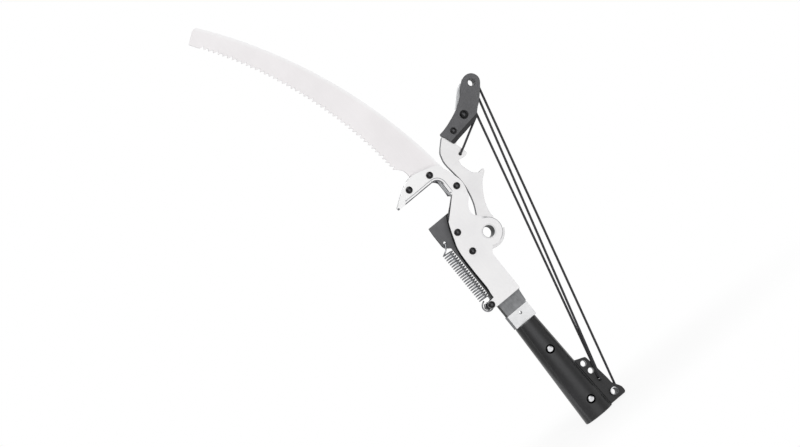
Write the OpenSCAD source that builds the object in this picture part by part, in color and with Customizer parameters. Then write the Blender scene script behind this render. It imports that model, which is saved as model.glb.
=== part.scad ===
// Tree pruner pole head: a pole socket, a two plate head with a hook and a sliding cutting blade,
// a curved saw, a rope worked lever with a rope block, a return spring and the rope itself.
// +Z runs up the pole axis from the socket's mouth, +X points to the lever side, and -Y is the
// front. Head outlines are [x, z] points measured from the socket's top face; lever and block
// outlines are measured from the lever's pivot.

/* [Pole socket] */
// Diameter of the pole that the socket takes
pole_d = 30; // [26:0.5:31]
// Gap all round the pole in its bore
pole_gap = 0.15; // [0.05:0.05:0.4]
// Depth of the pole bore
bore_depth = 92; // [70:1:94]
// Length of the socket
socket_len = 155; // [140:1:190]
// Radius of the socket at its mouth
socket_base_r = 20.8; // [19.5:0.1:24]
// Radius of the socket at its top
socket_top_r = 15.4; // [14.5:0.1:17]
// Height of the raised bands down both sides of the socket
band_proud = 0.7; // [0.4:0.1:1.5]
// Width of the raised bands
band_w = 22; // [16:0.5:26]
// Thickness of the rope wing
wing_t = 8; // [6:0.5:11]
// Radius of the wing's two tie holes
tie_hole_r = 4.1; // [3:0.1:4.6]
// Width of the wing's rope slot
slot_w = 4; // [3.8:0.1:5]
// Length of the wing's rope slot
slot_len = 9.6; // [9:0.1:11]
// Height of the pole screw above the mouth
pole_screw_z = 24.3; // [16:0.1:40]
// Height of the screw through the tang above the shank's foot
tang_screw_up = 10.4; // [8:0.1:20]

/* [Rope] */
// Diameter of the rope
rope_d = 3; // [2.4:0.1:3.2]
// Distance in depth of each rope plane from the middle of the block
rope_plane = 1.75; // [1.7:0.05:2]
// Gap between rope pieces that meet end to end
rope_joint_gap = 0.1; // [0.05:0.05:0.3]
// Clearance between two ropes or a rope and what it passes
rope_clear = 0.25; // [0.15:0.05:0.4]

/* [Line bush] */
// Bore radius of the metal bush in the wing
bush_bore_r = 4.2; // [3:0.1:4.4]
// Wall of the bush
bush_wall = 0.8; // [0.6:0.1:1.2]
// Length of the bush that stands out of each face of the wing
bush_proud = 4; // [3.6:0.1:6]
// Radius that the bush flanges add
bush_lip = 2.2; // [1:0.1:3]
// Thickness of the bush flanges
bush_lip_t = 0.7; // [0.5:0.1:1]
// Radius of the bush's barrel behind the wing, where the rope turns
bush_barrel_r = 5.9; // [5.2:0.1:6.2]

/* [Tang and ferrule] */
// Thickness of the tang, which sets the gap between the two head plates
tang_t = 12; // [11:0.5:14]
// Width of the shank inside the socket
shank_w = 20; // [14:0.5:21]
// Solid length of socket between the pole bore and the shank
web_len = 6; // [3:0.5:10]
// Gap round the shank in its pocket
shank_gap = 0.1; // [0.05:0.05:0.3]
// Height of the ferrule
ferrule_len = 20; // [14:0.5:21]
// Thickness of the ferrule sheet
ferrule_t = 0.9; // [0.5:0.1:1.5]
// Radius of the ferrule rivet's head
rivet_r = 2.1; // [1.5:0.1:3]

/* [Head plates] */
// Thickness of each head plate
plate_t = 3; // [2:0.5:4]
// Height of the plates' lower edge above the socket
plate_foot_z = 40; // [36:0.5:44]
// Radius of the plates' boss round the pivot
boss_r = 19; // [17:0.5:22]
// Length of the bevel along the hook's edge
hook_bevel = 3.8; // [2:0.1:6]
// Depth of that bevel in the plate's face
hook_bevel_depth = 1.8; // [0.5:0.1:1.9]
// Height of the hook's cutting edge above the socket
hook_edge_z = 218.2; // [217:0.1:220]
// Depth of the channel between the hook plates that the blade enters
channel_depth = 3; // [2:0.1:4]

/* [Saw] */
// Thickness of the saw blade
saw_t = 1.8; // [1:0.1:3]
// Distance from one saw tooth to the next
saw_pitch = 6.57; // [4:0.01:9]
// Depth of the saw teeth
saw_tooth_depth = 3; // [1.5:0.1:5]
// Extra depth of each third gullet
gullet_extra = 1.6; // [0.5:0.1:3]

/* [Cutting blade] */
// Thickness of the cutting blade
blade_t = 4; // [3:0.5:5]
// Height of the blade's cutting edge above the socket at rest
blade_top_z = 174.6; // [173.5:0.1:177]
// Height of the blade's bevel
blade_bevel = 11; // [6:0.5:14]
// Running clearance between the blade and its guides
blade_gap = 0.25; // [0.15:0.05:0.4]
// Radius of the hole for the spring
spring_hole_r = 2.2; // [1.9:0.1:2.4]

/* [Gear] */
// Module of the gear on the lever and the rack on the blade
gear_module = 2.1; // [1.95:0.01:2.15]
// Teeth that a full gear circle would have
gear_full_teeth = 20; // [20:1:20]
// Tooth height above the pitch line
gear_addendum = 1.6; // [1.2:0.1:1.7]
// Depth of the rack's teeth below the pitch line
gear_dedendum = 2.3; // [2.1:0.1:2.5]
// Play between the teeth
gear_play = 0.3; // [0.2:0.05:0.5]
// Turn of the lever from rest to closed
lever_turn = 120; // [90:1:122]

/* [Lever] */
// Thickness of the lever
lever_t = 7; // [6:0.5:8]
// Radius of the lever's plain disc, away from its teeth
lever_disc_r = 19; // [18.6:0.1:19.1]
// Gap between the blade and the lever's two shrouds
shroud_gap = 0.3; // [0.2:0.05:0.5]
// Distance of the pivot from the pole axis
pivot_x = 36.8; // [36:0.1:38]
// Height of the pivot above the socket
pivot_z = 122.5; // [120:0.1:125]
// Outer radius of the hollow pivot
pivot_r = 8.8; // [7.6:0.1:9]
// Wall of the hollow pivot
pivot_wall = 1; // [0.8:0.1:2]
// Running clearance of the lever on the pivot
pivot_gap = 0.06; // [0.02:0.01:0.1]
// Wall of the ring that locks the pivot in the front plate
pivot_ring_w = 1.2; // [0.8:0.1:2]
// Radius of the rope hole in the lever's lug
lug_hole_r = 2.2; // [1.8:0.1:2.8]

/* [Rope block] */
// Thickness of each cheek of the block
cheek_t = 3.5; // [2.5:0.5:5]
// How much narrower the rear cheek is along the block's back
rear_cheek_inset = 3.4; // [0:0.1:3.8]
// Radius of the block's round end
block_end_r = 12.2; // [11:0.1:14]
// Radius of the top roller to the rope's centre line
top_roller_r = 9; // [8.4:0.1:9.4]
// Radius of the middle roller to the rope's centre line
middle_roller_r = 5.8; // [5:0.1:6]
// Radius of the corner pin to the rope's centre line
corner_pin_r = 5; // [4.5:0.1:5.1]
// Outer radius of the hollow top axle
axle_r = 5.3; // [5:0.1:5.6]
// Bore radius of the hollow top axle
axle_bore_r = 4.6; // [3.6:0.1:4.7]
// Radius of the middle roller's pin
middle_pin_r = 2; // [1.5:0.1:2.4]
// Thickness of the front cheek over the ends of the two pins
pin_cover = 1.2; // [0.8:0.1:2]
// Running clearance of the rollers on their pins
roller_gap = 0.05; // [0.02:0.01:0.1]

/* [Bolts] */
// Diameter of the head bolts
bolt_d = 6; // [5:0.5:6.5]
// Diameter of their button heads
bolt_head_d = 9.6; // [9:0.1:12]
// Height of their button heads
bolt_head_h = 3.3; // [2.5:0.1:4]
// Width across the flats of their nuts
nut_w = 10; // [9:0.1:11]
// Height of their nuts
nut_h = 5; // [4:0.1:6]
// Gap between a bolt and its hole
bolt_gap = 0.1; // [0.05:0.05:0.3]
// Wall of the sleeves that guide the blade
sleeve_wall = 1; // [0.8:0.1:1.3]
// Outer radius of the washers that centre the blade
guide_washer_r = 7; // [6:0.1:8]
// Diameter of the socket's two screws
screw_d = 5; // [4:0.5:6]
// Diameter of their heads
screw_head_d = 9.4; // [8:0.1:11]
// Height of their heads
screw_head_h = 2.4; // [1.5:0.1:3]
// Diameter of the recesses they sit in
screw_recess_d = 12.6; // [11.6:0.1:14]
// Depth of the recesses
screw_recess = 2.3; // [1:0.1:2.5]

/* [Return spring] */
// Diameter of the spring wire
spring_wire_d = 1.9; // [1.4:0.1:2.2]
// Radius of the coil to the wire's centre
spring_r = 6.6; // [5.5:0.1:6.8]
// Number of curls
spring_turns = 21.5; // [15.5:1:23.5]
// Radius of the lower loop to the wire's centre
loop_r = 7.4; // [7:0.1:8]

/* [Hidden] */
$fn = 48;
eps = 0.01;

// Depths, from the middle of the head
core_y = tang_t / 2;
face_y = core_y + plate_t;
lever_y = lever_t / 2;
cheek_y = lever_y + cheek_t;
shroud_y = blade_t / 2 + shroud_gap;

// Places in the head, measured from the socket's top face
head_z = socket_len;
shank_foot_z = bore_depth + web_len - head_z;
tang_screw_z = bore_depth + web_len + tang_screw_up;
tang_top_z = 92;
blade_stop_z = 50.7;
blade_foot_z = blade_stop_z + 0.3;
guide_x = 3.3;
guide_z = [116.2, 147.4];
hook_bolt_at = [[-11.6, 230.2], [22.1, 228.1], [41.7, 195]];
spring_bolt_at = [-22.1, 46.3];
spring_hole_at = [-17.1, 146.9];
spring_x = -22.9;
spring_foot_z = 57.5;
spring_top_z = 134.5;
loop_at = [-24.9, 47.9];
tang_left_x = -14.8;
tang_right_x = 16.8;
ear_r = 5;

// Places on the lever, measured from the pivot
pivot = [pivot_x, pivot_z];
block_bolt_at = [73.4, 138.1];
block_screw_at = [48.5, 130.6];
axle_at = [108.2, 164.3];
middle_at = [98.2, 143];
corner_at = [83.2, 129.5];
lug_at = [36.9, 101.4];
corner_end_r = 1.8;
bolt_recess = 1.4;

// Places on the wing, measured from the socket's mouth
tie_hole_at = [[25.4, 64.9], [27.4, 51.6]];
bush_at = [34.1, 11.5];
slot_at = [29.4, 37];
slot_lean = 8;
slot_ends = [for (s = [-1, 1]) slot_at + s * 2.5 * [sin(slot_lean), cos(slot_lean)]];

// Gear sizes
pitch_r = gear_module * gear_full_teeth / 2;
gear_pitch = PI * gear_module;
gear_tip_r = pitch_r + gear_addendum;
gear_base_r = pitch_r * cos(20);
tooth_turn = 360 / gear_full_teeth;
first_tooth = -1;
last_tooth = ceil(lever_turn / tooth_turn) + 1;
solid_from = 180 + (last_tooth + 0.5) * tooth_turn - 360;
solid_to = 180 + (first_tooth - 0.5) * tooth_turn;
blade_stroke = pitch_r * lever_turn * PI / 180;
rack_x = pivot_x - pitch_r;
rack_root_x = rack_x - gear_dedendum;
rack_low_tooth = -ceil(blade_stroke / gear_pitch) - 1;

// Fits
sleeve_r = bolt_d / 2 + bolt_gap / 2 + sleeve_wall;
slot_r = sleeve_r + blade_gap / 2;
bolt_hole_r = bolt_d / 2 + bolt_gap;
rope_r = rope_d / 2;
rope_lead = 0.6;
bush_r = bush_bore_r + bush_wall;
bush_rope_r = bush_barrel_r + rope_r + 0.05;
bush_half = wing_t / 2 + bush_proud;
wing_rear_y = wing_t / 2 + rope_r + rope_clear;
strand_a_y = -wing_rear_y;
strand_b_y = strand_a_y - rope_d - rope_clear;
gear_shroud_r = gear_tip_r + 0.2;
pivot_bore_r = pivot_r - pivot_wall;

// Geometry functions

function unit(v) = v / norm(v);

// Points of a circle's arc from angle a to angle b
function arc(at, r, a, b, steps) =
    [for (i = [0:steps]) let (t = a + (b - a) * i / steps) at + r * [cos(t), sin(t)]];

// Centre of the circle through three points
function circle_centre(p, q, s) =
    let (
        d = 2 * (p.x * (q.y - s.y) + q.x * (s.y - p.y) + s.x * (p.y - q.y)),
        a = p * p,
        b = q * q,
        c = s * s
    )
    [
        (a * (q.y - s.y) + b * (s.y - p.y) + c * (p.y - q.y)) / d,
        (a * (s.x - q.x) + b * (p.x - s.x) + c * (q.x - p.x)) / d
    ];

// One point of a smooth curve between b and c, with neighbours a and d
function curve_point(a, b, c, d, t) =
    0.5 * (2 * b + (c - a) * t + (2 * a - 5 * b + 4 * c - d) * t * t
        + (3 * b - a - 3 * c + d) * t * t * t);

// A smooth curve through every point of a list
function smooth(p, steps) =
    let (n = len(p) - 1)
    [
        for (i = [0:n - 1], k = [0:steps - 1])
            curve_point(p[max(i - 1, 0)], p[i], p[i + 1], p[min(i + 2, n)], k / steps),
        p[n]
    ];

// The straight line that touches two circles. A side of 1 has its circle on the line's left
function tangent_line(a, ra, side_a, b, rb, side_b) =
    let (
        d = b - a,
        turn = asin(-(side_b * rb - side_a * ra) / norm(d)),
        t = atan2(d.y, d.x) + turn,
        n = [-sin(t), cos(t)]
    )
    [a - side_a * ra * n, b - side_b * rb * n];

function angle_from(at, p) = atan2(p.y - at.y, p.x - at.x);

// Places an [x, z] point at a depth y
function in_depth(p, y, lift = 0) = [p.x, y, p.y + lift];

// The direction of a path at point i
function heading(p, i) = unit(p[min(i + 1, len(p) - 1)] - p[max(i - 1, 0)]);

// A sideways direction for each point of a path, turned as little as possible
function sideways(p) =
    let (h = heading(p, 0), start = abs(h.z) < 0.9 ? [0, 0, 1] : [1, 0, 0])
    [
        for (i = 0, n = unit(start - (start * h) * h); i < len(p);
            i = i + 1,
            n = i < len(p) ? let (t = heading(p, i)) unit(n - (n * t) * t) : n) n
    ];

// Distance between the closest parts of a path that lie at least skip points apart
function least_gap(p, skip, wire) =
    min([for (i = [0:len(p) - 1 - skip], j = [i + skip:len(p) - 1]) norm(p[i] - p[j])]) - wire;

// Drawing helpers

// Extrudes an [x, z] outline in depth from y0 to y1
module slab(y0, y1) {
    translate([0, y1, 0]) rotate([90, 0, 0]) linear_extrude(y1 - y0) children();
}

// A round bar along the depth at an [x, z] place
module rod(at, r, y0, y1) {
    translate([at.x, y1, at.y]) rotate([90, 0, 0]) cylinder(r = r, h = y1 - y0);
}

// A profile [radius, depth] turned about the depth axis at an [x, z] place
module turned(at, profile) {
    translate([at.x, 0, at.y]) rotate([90, 0, 0]) rotate_extrude()
        polygon([for (p = profile) [p.x, -p.y]]);
}

// A hexagonal bar along the depth
module hex_bar(at, width, y0, y1) {
    translate([at.x, y1, at.y]) rotate([90, 0, 0])
        cylinder(r = width / 2 / cos(30), h = y1 - y0, $fn = 6);
}

// A closed round tube along a path
module tube(p, r, sides) {
    n = sideways(p);
    rings = len(p);
    points = [
        for (i = [0:rings - 1], k = [0:sides - 1])
            let (t = heading(p, i), m = cross(t, n[i]), a = 360 * (k + 0.5) / sides)
            p[i] + r * (cos(a) * n[i] + sin(a) * m)
    ];
    walls = [
        for (i = [0:rings - 2], k = [0:sides - 1])
            let (a = i * sides + k, b = i * sides + (k + 1) % sides)
            each [[a, a + sides, b + sides], [a, b + sides, b]]
    ];
    ends = [
        [for (k = [0:sides - 1]) k],
        [for (k = [sides - 1:-1:0]) (rings - 1) * sides + k]
    ];
    polyhedron(points, concat(walls, ends), convexity = 10);
}

// A button head bolt: its head is seated at depth seat and its shank ends at depth tip
module button_bolt(at, d, head_d, head_h, seat, tip) {
    difference() {
        turned(at, [
            [0, seat - head_h], [head_d * 0.24, seat - head_h], [head_d * 0.36, seat - head_h * 0.86],
            [head_d * 0.45, seat - head_h * 0.55], [head_d * 0.5, seat - head_h * 0.12],
            [head_d * 0.5, seat], [d / 2, seat], [d / 2, tip - 0.5], [d / 2 - 0.5, tip], [0, tip]
        ]);
        hex_bar(at, d * 0.62, seat - head_h - eps, seat - head_h * 0.35);
    }
}

// A hexagonal nut on a shank of diameter d
module hex_nut(at, d, y0, y1, width) {
    difference() {
        hex_bar(at, width, y0, y1);
        rod(at, d / 2 + 0.02, y0 - eps, y1 + eps);
    }
}

// A flat ring
module ring(at, inner, outer, y0, y1) {
    difference() {
        rod(at, outer, y0, y1);
        rod(at, inner, y0 - eps, y1 + eps);
    }
}

// A rope roller between two depths. The rope lies in its groove with rope_at as its centre line
module rope_roller(at, bore, rope_at, y0, y1) {
    mid = (y0 + y1) / 2;
    groove_r = rope_r + 0.06;
    rim = rope_at - groove_r * cos(50);
    difference() {
        turned(at, concat(
            [[0, y0], [rim, y0]],
            [for (t = [-50:20:50]) [rope_at - groove_r * cos(t), mid + groove_r * sin(t)]],
            [[rim, y1], [0, y1]]
        ));
        rod(at, bore, y0 - eps, y1 + eps);
    }
}

// Moves the lever's own outlines and pieces to the pivot
module at_pivot() {
    translate([pivot_x, 0, head_z + pivot_z]) children();
}

module at_head() {
    translate([0, 0, head_z]) children();
}

// Pole socket

module wing_outline() {
    polygon(concat(
        [[10, 0.9], [44.2, 0.9]],
        smooth([[44.2, 0.9], [46.2, 2.6], [46.6, 7], [45.6, 11.4], [41.1, 18.5], [39, 22.5]], 4),
        [[38.5, 30.6], [35.9, 50.7], [33.3, 67.8], [32.6, 69.8], [31, 71], [24.6, 73.3]],
        [[18.4, 75.8], [10, 79]]
    ));
}

module slot_outline(w, length) {
    reach = (length - w) / 2;
    translate(slot_at) rotate(-slot_lean) {
        square([w, 2 * reach], center = true);
        for (s = [-1, 1]) translate([0, s * reach]) circle(r = w / 2);
    }
}

function socket_r(z) = socket_base_r + (socket_top_r - socket_base_r) * z / socket_len;

module socket_body(extra) {
    rotate_extrude() polygon([
        [0, 0], [socket_base_r + extra - 0.6, 0], [socket_base_r + extra, 0.8],
        [socket_top_r + extra, socket_len - 1], [socket_top_r + extra - 0.9, socket_len],
        [0, socket_len]
    ]);
}

module screw_seat(z, side) {
    depth = socket_r(z);
    mirror([0, side > 0 ? 1 : 0, 0]) {
        rod([0, z], screw_recess_d / 2, -depth - 3, -depth + screw_recess);
        rod([0, z], screw_d / 2 + bolt_gap, -depth - 3, 0);
    }
}

module pole_socket() color("#2b2c2e") {
    difference() {
        union() {
            socket_body(0);
            intersection() {
                socket_body(band_proud);
                translate([-50, -band_w / 2, 0]) cube([100, band_w, socket_len]);
            }
            slab(-wing_t / 2, wing_t / 2) difference() {
                wing_outline();
                for (p = tie_hole_at) translate(p) circle(r = tie_hole_r);
                translate(bush_at) circle(r = bush_r + 0.02);
                slot_outline(slot_w, slot_len);
            }
        }
        translate([0, 0, -eps]) cylinder(r = pole_d / 2 + pole_gap, h = bore_depth + eps, $fn = 96);
        translate([-shank_w / 2 - shank_gap, -tang_t / 2 - shank_gap, bore_depth + web_len])
            cube([shank_w + 2 * shank_gap, tang_t + 2 * shank_gap, socket_len]);
        screw_seat(pole_screw_z, -1);
        screw_seat(tang_screw_z, -1);
        screw_seat(tang_screw_z, 1);
    }
}

module line_bush() color("#c9ccd0") {
    lip_r = bush_barrel_r + bush_lip;
    difference() {
        turned(bush_at, [
            [0, -bush_half], [bush_r + 0.5, -bush_half], [bush_r + 0.5, -bush_half + bush_lip_t],
            [bush_r, -bush_half + bush_lip_t], [bush_r, wing_t / 2 + 0.02],
            [bush_barrel_r, wing_t / 2 + 0.02], [bush_barrel_r, bush_half - bush_lip_t],
            [lip_r, bush_half - bush_lip_t], [lip_r, bush_half], [0, bush_half]
        ]);
        rod(bush_at, bush_bore_r, -bush_half - eps, bush_half + eps);
    }
}

module pole_screw() color("#c4c7cb") {
    seat = -socket_r(pole_screw_z) + screw_recess;
    button_bolt([0, pole_screw_z], screw_d, screw_head_d, screw_head_h, seat,
        -pole_d / 2 - pole_gap - 0.05);
}

module tang_screw() color("#c4c7cb") {
    seat = -socket_r(tang_screw_z) + screw_recess;
    button_bolt([0, tang_screw_z], screw_d, screw_head_d, screw_head_h, seat, -seat + 3.6);
}

module tang_nut() color("#b4b7bb") {
    seat = socket_r(tang_screw_z) - screw_recess;
    hex_nut([0, tang_screw_z], screw_d, seat, seat + 3.2, 8);
}

// Tang and ferrule

module tang() color("#77797c") {
    at_head() slab(-core_y, core_y) difference() {
        polygon([
            [-shank_w / 2, shank_foot_z], [shank_w / 2, shank_foot_z], [shank_w / 2, 0.3],
            [tang_right_x, 0.3], [tang_right_x, ferrule_len + 1.4], [18.4, ferrule_len + 2.4],
            [20, plate_foot_z - 2], [21.4, plate_foot_z], [21.4, tang_top_z], [18.6, tang_top_z],
            [18.6, blade_stop_z], [tang_left_x, blade_stop_z], [tang_left_x, 0.3], [-shank_w / 2, 0.3]
        ]);
        translate([0, tang_screw_z - head_z]) circle(r = screw_d / 2 + bolt_gap);
    }
}

module ferrule() color("#d3d5d8") {
    gap = 0.05;
    width = tang_right_x - tang_left_x;
    at_head() difference() {
        translate([tang_left_x - ferrule_t - gap, -core_y - ferrule_t - gap, 0.5])
            cube([width + 2 * (ferrule_t + gap), tang_t + 2 * (ferrule_t + gap), ferrule_len]);
        translate([tang_left_x - gap, -core_y - gap, 0])
            cube([width + 2 * gap, tang_t + 2 * gap, ferrule_len + 2]);
        rod([1.8, 14.2], rivet_r * 0.5 + 0.05, -core_y - ferrule_t - 1, 0);
    }
}

module ferrule_rivet() color("#b9bbbe") {
    seat = -core_y - ferrule_t - 0.05;
    at_head() turned([1.8, 14.2], [
        [0, seat - 0.9], [rivet_r * 0.6, seat - 0.7], [rivet_r, seat - 0.1], [rivet_r, seat],
        [rivet_r * 0.5, seat], [rivet_r * 0.5, -core_y - 0.02], [0, -core_y - 0.02]
    ]);
}

// Head plates

jaw_r = 9.6;
jaw_x = 28.1;
front_jaw_x = jaw_x + 0.8;
jaw_left = [
    [-12.1, 67.2], [-12.3, 88], [-12.2, 104.5], [-11.6, 120.8], [-9.8, 132.9], [-6.5, 142],
    [-1.8, 155.1], [3.8, 167.4], [8.9, 173.5], [18.2, 181.3], [26.3, 188.3]
];
back_edge = [
    [36.8, 149.6], [34.7, 153.1], [34.4, 159.7], [37.7, 166.4], [45.9, 175.6], [50.1, 187.8],
    [50.6, 197.9], [48.1, 207.9], [44, 220], [41.9, 224], [40.4, 231.1]
];
hook_back = [
    [38, 233], [28, 236.4], [16, 239.6], [8, 241.8], [0.8, 242.4], [-6, 241.2], [-13.6, 238.1],
    [-24.9, 231.6], [-39, 221.7]
];

module plate_outline(jaw) {
    polygon(concat(
        [[-17.5, plate_foot_z], [21, plate_foot_z], [21.9, plate_foot_z + 1], [21.9, 93]],
        smooth([[21.9, 93], [22.6, 97.5], [24.5, 100.5], [28, 102.5]], 3),
        [[pivot_x, pivot_z], [52.2, 133.5]],
        smooth(back_edge, 3),
        smooth(hook_back, 3),
        [[-39.8, 220], [-39.4, hook_edge_z]],
        arc([jaw - jaw_r, hook_edge_z - jaw_r], jaw_r, 90, 0, 8),
        [[jaw, 199], [jaw - 0.7, 190.8], [jaw - 1.3, 189]],
        [for (i = [0:len(jaw_left) * 3 - 3]) smooth(jaw_left, 3)[len(jaw_left) * 3 - 3 - i]],
        [[-13.6, 57.1], [-13.8, 52]]
    ));
    translate(pivot) circle(r = boss_r, $fn = 72);
    translate(spring_bolt_at) circle(r = ear_r);
    polygon([
        [-17.5, plate_foot_z], [-12, plate_foot_z], [-13.8, 52],
        spring_bolt_at + [1, ear_r - 0.2], spring_bolt_at + [0, -ear_r]
    ]);
}

module plate_holes() {
    for (z = guide_z) translate([guide_x, z]) circle(r = bolt_hole_r);
    for (p = hook_bolt_at) translate(p) circle(r = bolt_hole_r);
    translate(spring_bolt_at) circle(r = bolt_hole_r);
}

// Cuts the bevel that sharpens the hook's straight edge
module hook_edge_cut() {
    lean = atan2(hook_bevel_depth, hook_bevel);
    translate([-60, -face_y + hook_bevel_depth, hook_edge_z]) rotate([lean, 0, 0])
        translate([0, -10, -2]) cube([60 + front_jaw_x - jaw_r, 10, 20]);
}

module front_plate() color("#d9dbde") {
    at_head() difference() {
        slab(-face_y, -core_y) difference() {
            plate_outline(front_jaw_x);
            plate_holes();
            translate(pivot) circle(r = pivot_r + pivot_ring_w + 0.03, $fn = 72);
        }
        hook_edge_cut();
    }
}

// The rear hook is narrower along its back than the front one
module rear_hook_cut() {
    polygon([
        [-50, 215], [-36.2, 215], [-36.2, 221.5], [-22, 231.4], [-10.5, 238], [-3, 241], [5, 243],
        [5, 250], [-50, 250]
    ]);
}

// The rear plate stands back from the mouth's sloping side
module rear_mouth_cut() {
    polygon([
        [26.5, 190.4], [28.6, 190.4], [31.5, 187.2], [22.4, 179.2], [12.9, 170.8], [4.5, 167.6],
        [-5, 175], [10, 195]
    ]);
}

module rear_plate() color("#d0d2d5") {
    at_head() slab(core_y, face_y) difference() {
        plate_outline(jaw_x);
        rear_hook_cut();
        rear_mouth_cut();
        plate_holes();
        translate(pivot) circle(r = pivot_r + 0.02, $fn = 72);
    }
}

// Spacers and saw

channel_z = hook_edge_z + channel_depth;
jaw_core_x = jaw_x + 0.3;

module spacer_outline() {
    difference() {
        polygon(concat(
            [[-22, channel_z], [jaw_core_x, channel_z], [jaw_core_x, 191.5], [32, 187.5], [42, 186.4]],
            smooth([[42, 186.4], [46.6, 190.6], [47.8, 198], [45.8, 207.9], [41.5, 220], [38.5, 229]], 3),
            [[28, 234], [10, 239], [1, 240], [-12, 236], [-22, 230.5]]
        ));
        for (p = hook_bolt_at) translate(p) circle(r = bolt_hole_r);
    }
}

module front_spacer() color("#a6a9ad") {
    at_head() slab(-core_y, -saw_t / 2) spacer_outline();
}

module rear_spacer() color("#a6a9ad") {
    at_head() slab(saw_t / 2, core_y) spacer_outline();
}

saw_spine = [[44.1, 225.4], [10.3, 374.9], [-92.7, 565.9]];
saw_edge = [[-9.4, 264.3], [-34, 393], [-112.3, 550.9]];
saw_spine_centre = circle_centre(saw_spine[0], saw_spine[1], saw_spine[2]);
saw_edge_centre = circle_centre(saw_edge[0], saw_edge[1], saw_edge[2]);
saw_spine_r = norm(saw_spine[0] - saw_spine_centre);
saw_edge_r = norm(saw_edge[0] - saw_edge_centre);
saw_edge_from = angle_from(saw_edge_centre, saw_edge[0]);
saw_edge_to = angle_from(saw_edge_centre, saw_edge[2]);
saw_teeth = floor(saw_edge_r * (saw_edge_to - saw_edge_from) * PI / 180 / saw_pitch);

// The toothed edge from tip to heel: each tooth leans to the heel, and each third gullet is deeper
function saw_tooth_points() = [
    for (i = [saw_teeth - 1:-1:0])
        let (
            turn = saw_pitch / saw_edge_r * 180 / PI,
            a = saw_edge_from + i * turn,
            gullet = saw_tooth_depth + (i % 3 == 0 ? gullet_extra : 0),
            steps = [[0.92, 0], [0.45, saw_tooth_depth * 0.9], [0.2, gullet], [0, 0]]
        )
        each [
            for (k = steps)
                saw_edge_centre + (saw_edge_r + k[1]) * [cos(a + turn * k[0]), sin(a + turn * k[0])]
        ]
];

module saw_blade() color("#d5d8db") {
    at_head() slab(-saw_t / 2, saw_t / 2) difference() {
        polygon(concat(
            [[-19, channel_z + 0.6], [jaw_core_x + 0.8, channel_z + 0.6], [jaw_core_x + 0.8, 192]],
            [[33, 188.8], [41.5, 188]],
            smooth([[41.5, 188], [45.4, 191.4], [46.4, 198], [46.2, 208], saw_spine[0]], 3),
            arc(saw_spine_centre, saw_spine_r, angle_from(saw_spine_centre, saw_spine[0]),
                angle_from(saw_spine_centre, saw_spine[2]), 28),
            smooth([[-94.6, 568], [-98.9, 569.2], [-103.5, 567.2], [-115.4, 558.4], [-115.9, 556.6]], 3),
            saw_tooth_points(),
            smooth([[-7.6, 262.6], [-2.7, 258], [1.2, 251.8], [2.5, 240.2]], 3),
            [[0.5, 237.4], [-10, 235.8], [-19, 231.6]]
        ));
        for (p = hook_bolt_at) translate(p) circle(r = bolt_hole_r);
    }
}

module hook_bolts() color("#26272a") {
    at_head() for (p = hook_bolt_at)
        button_bolt(p, bolt_d, bolt_head_d, bolt_head_h, -face_y, face_y + nut_h + 1);
}

module hook_nuts() color("#3a3b3e") {
    at_head() for (p = hook_bolt_at) hex_nut(p, bolt_d, face_y, face_y + nut_h, nut_w);
}

// Blade guides

module guide_bolts() color("#26272a") {
    at_head() for (z = guide_z)
        button_bolt([guide_x, z], bolt_d, bolt_head_d, bolt_head_h, -face_y, face_y + nut_h + 1);
}

module guide_nuts() color("#3a3b3e") {
    at_head() for (z = guide_z) hex_nut([guide_x, z], bolt_d, face_y, face_y + nut_h, nut_w);
}

module guide_sleeves() color("#c2a25a") {
    at_head() for (z = guide_z) ring([guide_x, z], bolt_d / 2 + bolt_gap / 2, sleeve_r, -core_y, core_y);
}

module guide_washers() color("#b9bcc0") {
    inner = blade_t / 2 + blade_gap;
    at_head() for (z = guide_z, side = [0, 1]) mirror([0, side, 0])
        ring([guide_x, z], sleeve_r + 0.05, guide_washer_r, inner, core_y);
}

// Return spring and its bolt

module spring_bolt() color("#26272a") {
    at_head() button_bolt(spring_bolt_at, bolt_d, bolt_head_d, bolt_head_h, -face_y, face_y + nut_h + 1);
}

module spring_nut() color("#3a3b3e") {
    at_head() hex_nut(spring_bolt_at, bolt_d, face_y, face_y + nut_h, nut_w);
}

spring_rings = 8;
loop_mid = in_depth(loop_at, 0);
loop_points = [for (a = [-250:20:10]) loop_mid + loop_r * [cos(a), 0, sin(a)]];
loop_tail = [for (k = [2, 1]) loop_points[0] + k * 1.2 * unit(loop_points[0] - loop_points[1])];
loop_neck = smooth([
    loop_points[13], [-17.3, -0.9, 52.4], [-17, -1.7, 55.4], [spring_x + spring_r, 0, spring_foot_z]
], 3);
coil_points = [
    for (i = [0:spring_turns * spring_rings])
        let (
            a = 360 * i / spring_rings,
            z = spring_foot_z + (spring_top_z - spring_foot_z) * i / (spring_turns * spring_rings)
        )
        [spring_x + spring_r * cos(a), spring_r * sin(a), z]
];
coil_end_a = 360 * spring_turns;
hook_wire = smooth([
    [spring_x + spring_r * cos(coil_end_a), spring_r * sin(coil_end_a), spring_top_z],
    [-28.6, -3.4, 135.6], [-26, -5.3, 137.2], [-22.6, -5, 139.6], [-19.4, -4.2, 143.4],
    [spring_hole_at.x, -3.1, 145.6], [spring_hole_at.x, -1.2, spring_hole_at.y - 1],
    [spring_hole_at.x, 1.4, spring_hole_at.y - 1], [spring_hole_at.x, 3.9, spring_hole_at.y - 1]
], 3);
function inner_points(p) = [for (i = [1:len(p) - 2]) p[i]];
spring_path = concat(
    loop_tail, loop_points, inner_points(loop_neck), coil_points,
    [for (i = [1:len(hook_wire) - 1]) hook_wire[i]]
);

module return_spring() color("#9a9da1") {
    at_head() tube(spring_path, spring_wire_d / 2, 6);
}

echo(spring_least_gap = least_gap(spring_path, 6, spring_wire_d));

// Cutting blade

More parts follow.
